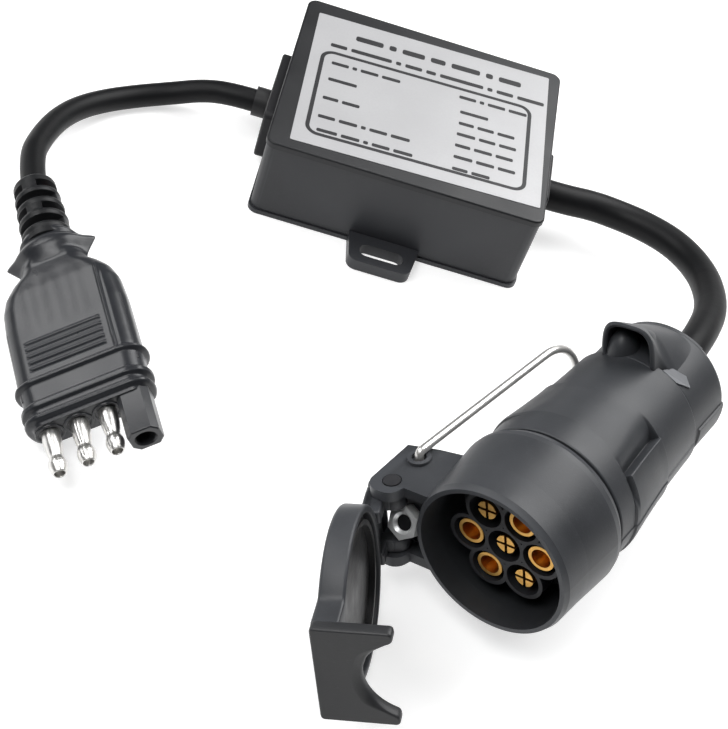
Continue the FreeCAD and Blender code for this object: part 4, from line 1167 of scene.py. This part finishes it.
def make_label_print():
    """A ruled frame and rows of plain bars where a printed label would have its words."""
    points = []
    faces = []
    inner_size = [side - 2 * FRAME_LINE for side in FRAME_SIZE]
    raised_shape(points, faces, rounded_rectangle(FRAME_CENTRE, *FRAME_SIZE, FRAME_CORNER),
                 rounded_rectangle(FRAME_CENTRE, *inner_size, FRAME_CORNER - FRAME_LINE))
    for (x, y), height, words in PRINT_ROWS:
        bar_height = height * BAR_SHARE
        for length in words:
            bar = rounded_rectangle((x + length / 2, y), length, bar_height, bar_height * BAR_ROUNDING, 3)
            raised_shape(points, faces, bar)
            x += length + WORD_GAP * height
    add_skin("label_print", (points, faces), LABEL, "label_ink")


make_label_print()


# ---- floor and light

FLOOR_HEIGHT = -0.0002
FLOOR_REACH = 3.0
FLOOR_COLOR = (0.6, 0.6, 0.6, 1)
FLOOR_GLOW = 0.62
# the sky is brightest in this direction
SKY_DIRECTION = (0.05, 0.05, 1.0)
SKY_DIM = 0.22
SKY_BRIGHT = 1.1
# each soft light: where it is, what it looks at, its side in metres and its power
LIGHTS = {
    "key": ((0.355, 0.39, 0.765), (0.03, -0.13, 0.03), 0.75, 12.0),
    "left": ((-0.72, 0.12, 0.57), (-0.06, -0.13, 0.01), 0.4, 3.2),
    "front": ((-0.35, -0.35, 0.80), (0.0, -0.12, 0.02), 0.45, 5.0),
}


def make_floor():
    """A large matt floor, lit enough to look white."""
    mesh = bpy.data.meshes.new("floor")
    corners = [(x * FLOOR_REACH, y * FLOOR_REACH, FLOOR_HEIGHT)
               for x, y in ((-1, -1), (1, -1), (1, 1), (-1, 1))]
    mesh.from_pydata(corners, [], [(0, 1, 2, 3)])
    floor = in_scene("floor", mesh)
    material = bpy.data.materials.new("floor")
    material.use_nodes = True
    shader = material.node_tree.nodes["Principled BSDF"]
    set_inputs(shader, Base_Color=FLOOR_COLOR, Roughness=0.9, Specular_IOR_Level=0.1,
               Emission_Color=(1, 1, 1, 1), Emission_Strength=FLOOR_GLOW)
    floor.data.materials.append(material)


def make_area_light(name, place, aim, side, power):
    data = bpy.data.lights.new(name, "AREA")
    data.shape = "SQUARE"
    data.size = side
    data.energy = power
    in_scene(name, data).matrix_world = looking(place, aim)


def make_world():
    """A soft sky that is brightest overhead and dim near the horizon."""
    world = bpy.data.worlds.new("studio")
    world.use_nodes = True
    tree = world.node_tree
    direction = tree.nodes.new("ShaderNodeTexCoord")
    facing = tree.nodes.new("ShaderNodeVectorMath")
    facing.operation = "DOT_PRODUCT"
    facing.inputs[1].default_value = Vector(SKY_DIRECTION).normalized()
    glow = tree.nodes.new("ShaderNodeMapRange")
    glow.interpolation_type = "SMOOTHSTEP"
    set_inputs(glow, From_Min=-0.1, From_Max=1.0, To_Min=SKY_DIM, To_Max=SKY_BRIGHT)
    tree.links.new(direction.outputs["Generated"], facing.inputs[0])
    tree.links.new(facing.outputs["Value"], glow.inputs["Value"])
    tree.links.new(glow.outputs["Result"], tree.nodes["Background"].inputs["Strength"])
    bpy.context.scene.world = world


make_floor()
make_world()
for light_name, settings in LIGHTS.items():
    make_area_light(light_name, *settings)
bpy.context.scene.view_settings.view_transform = "Standard"
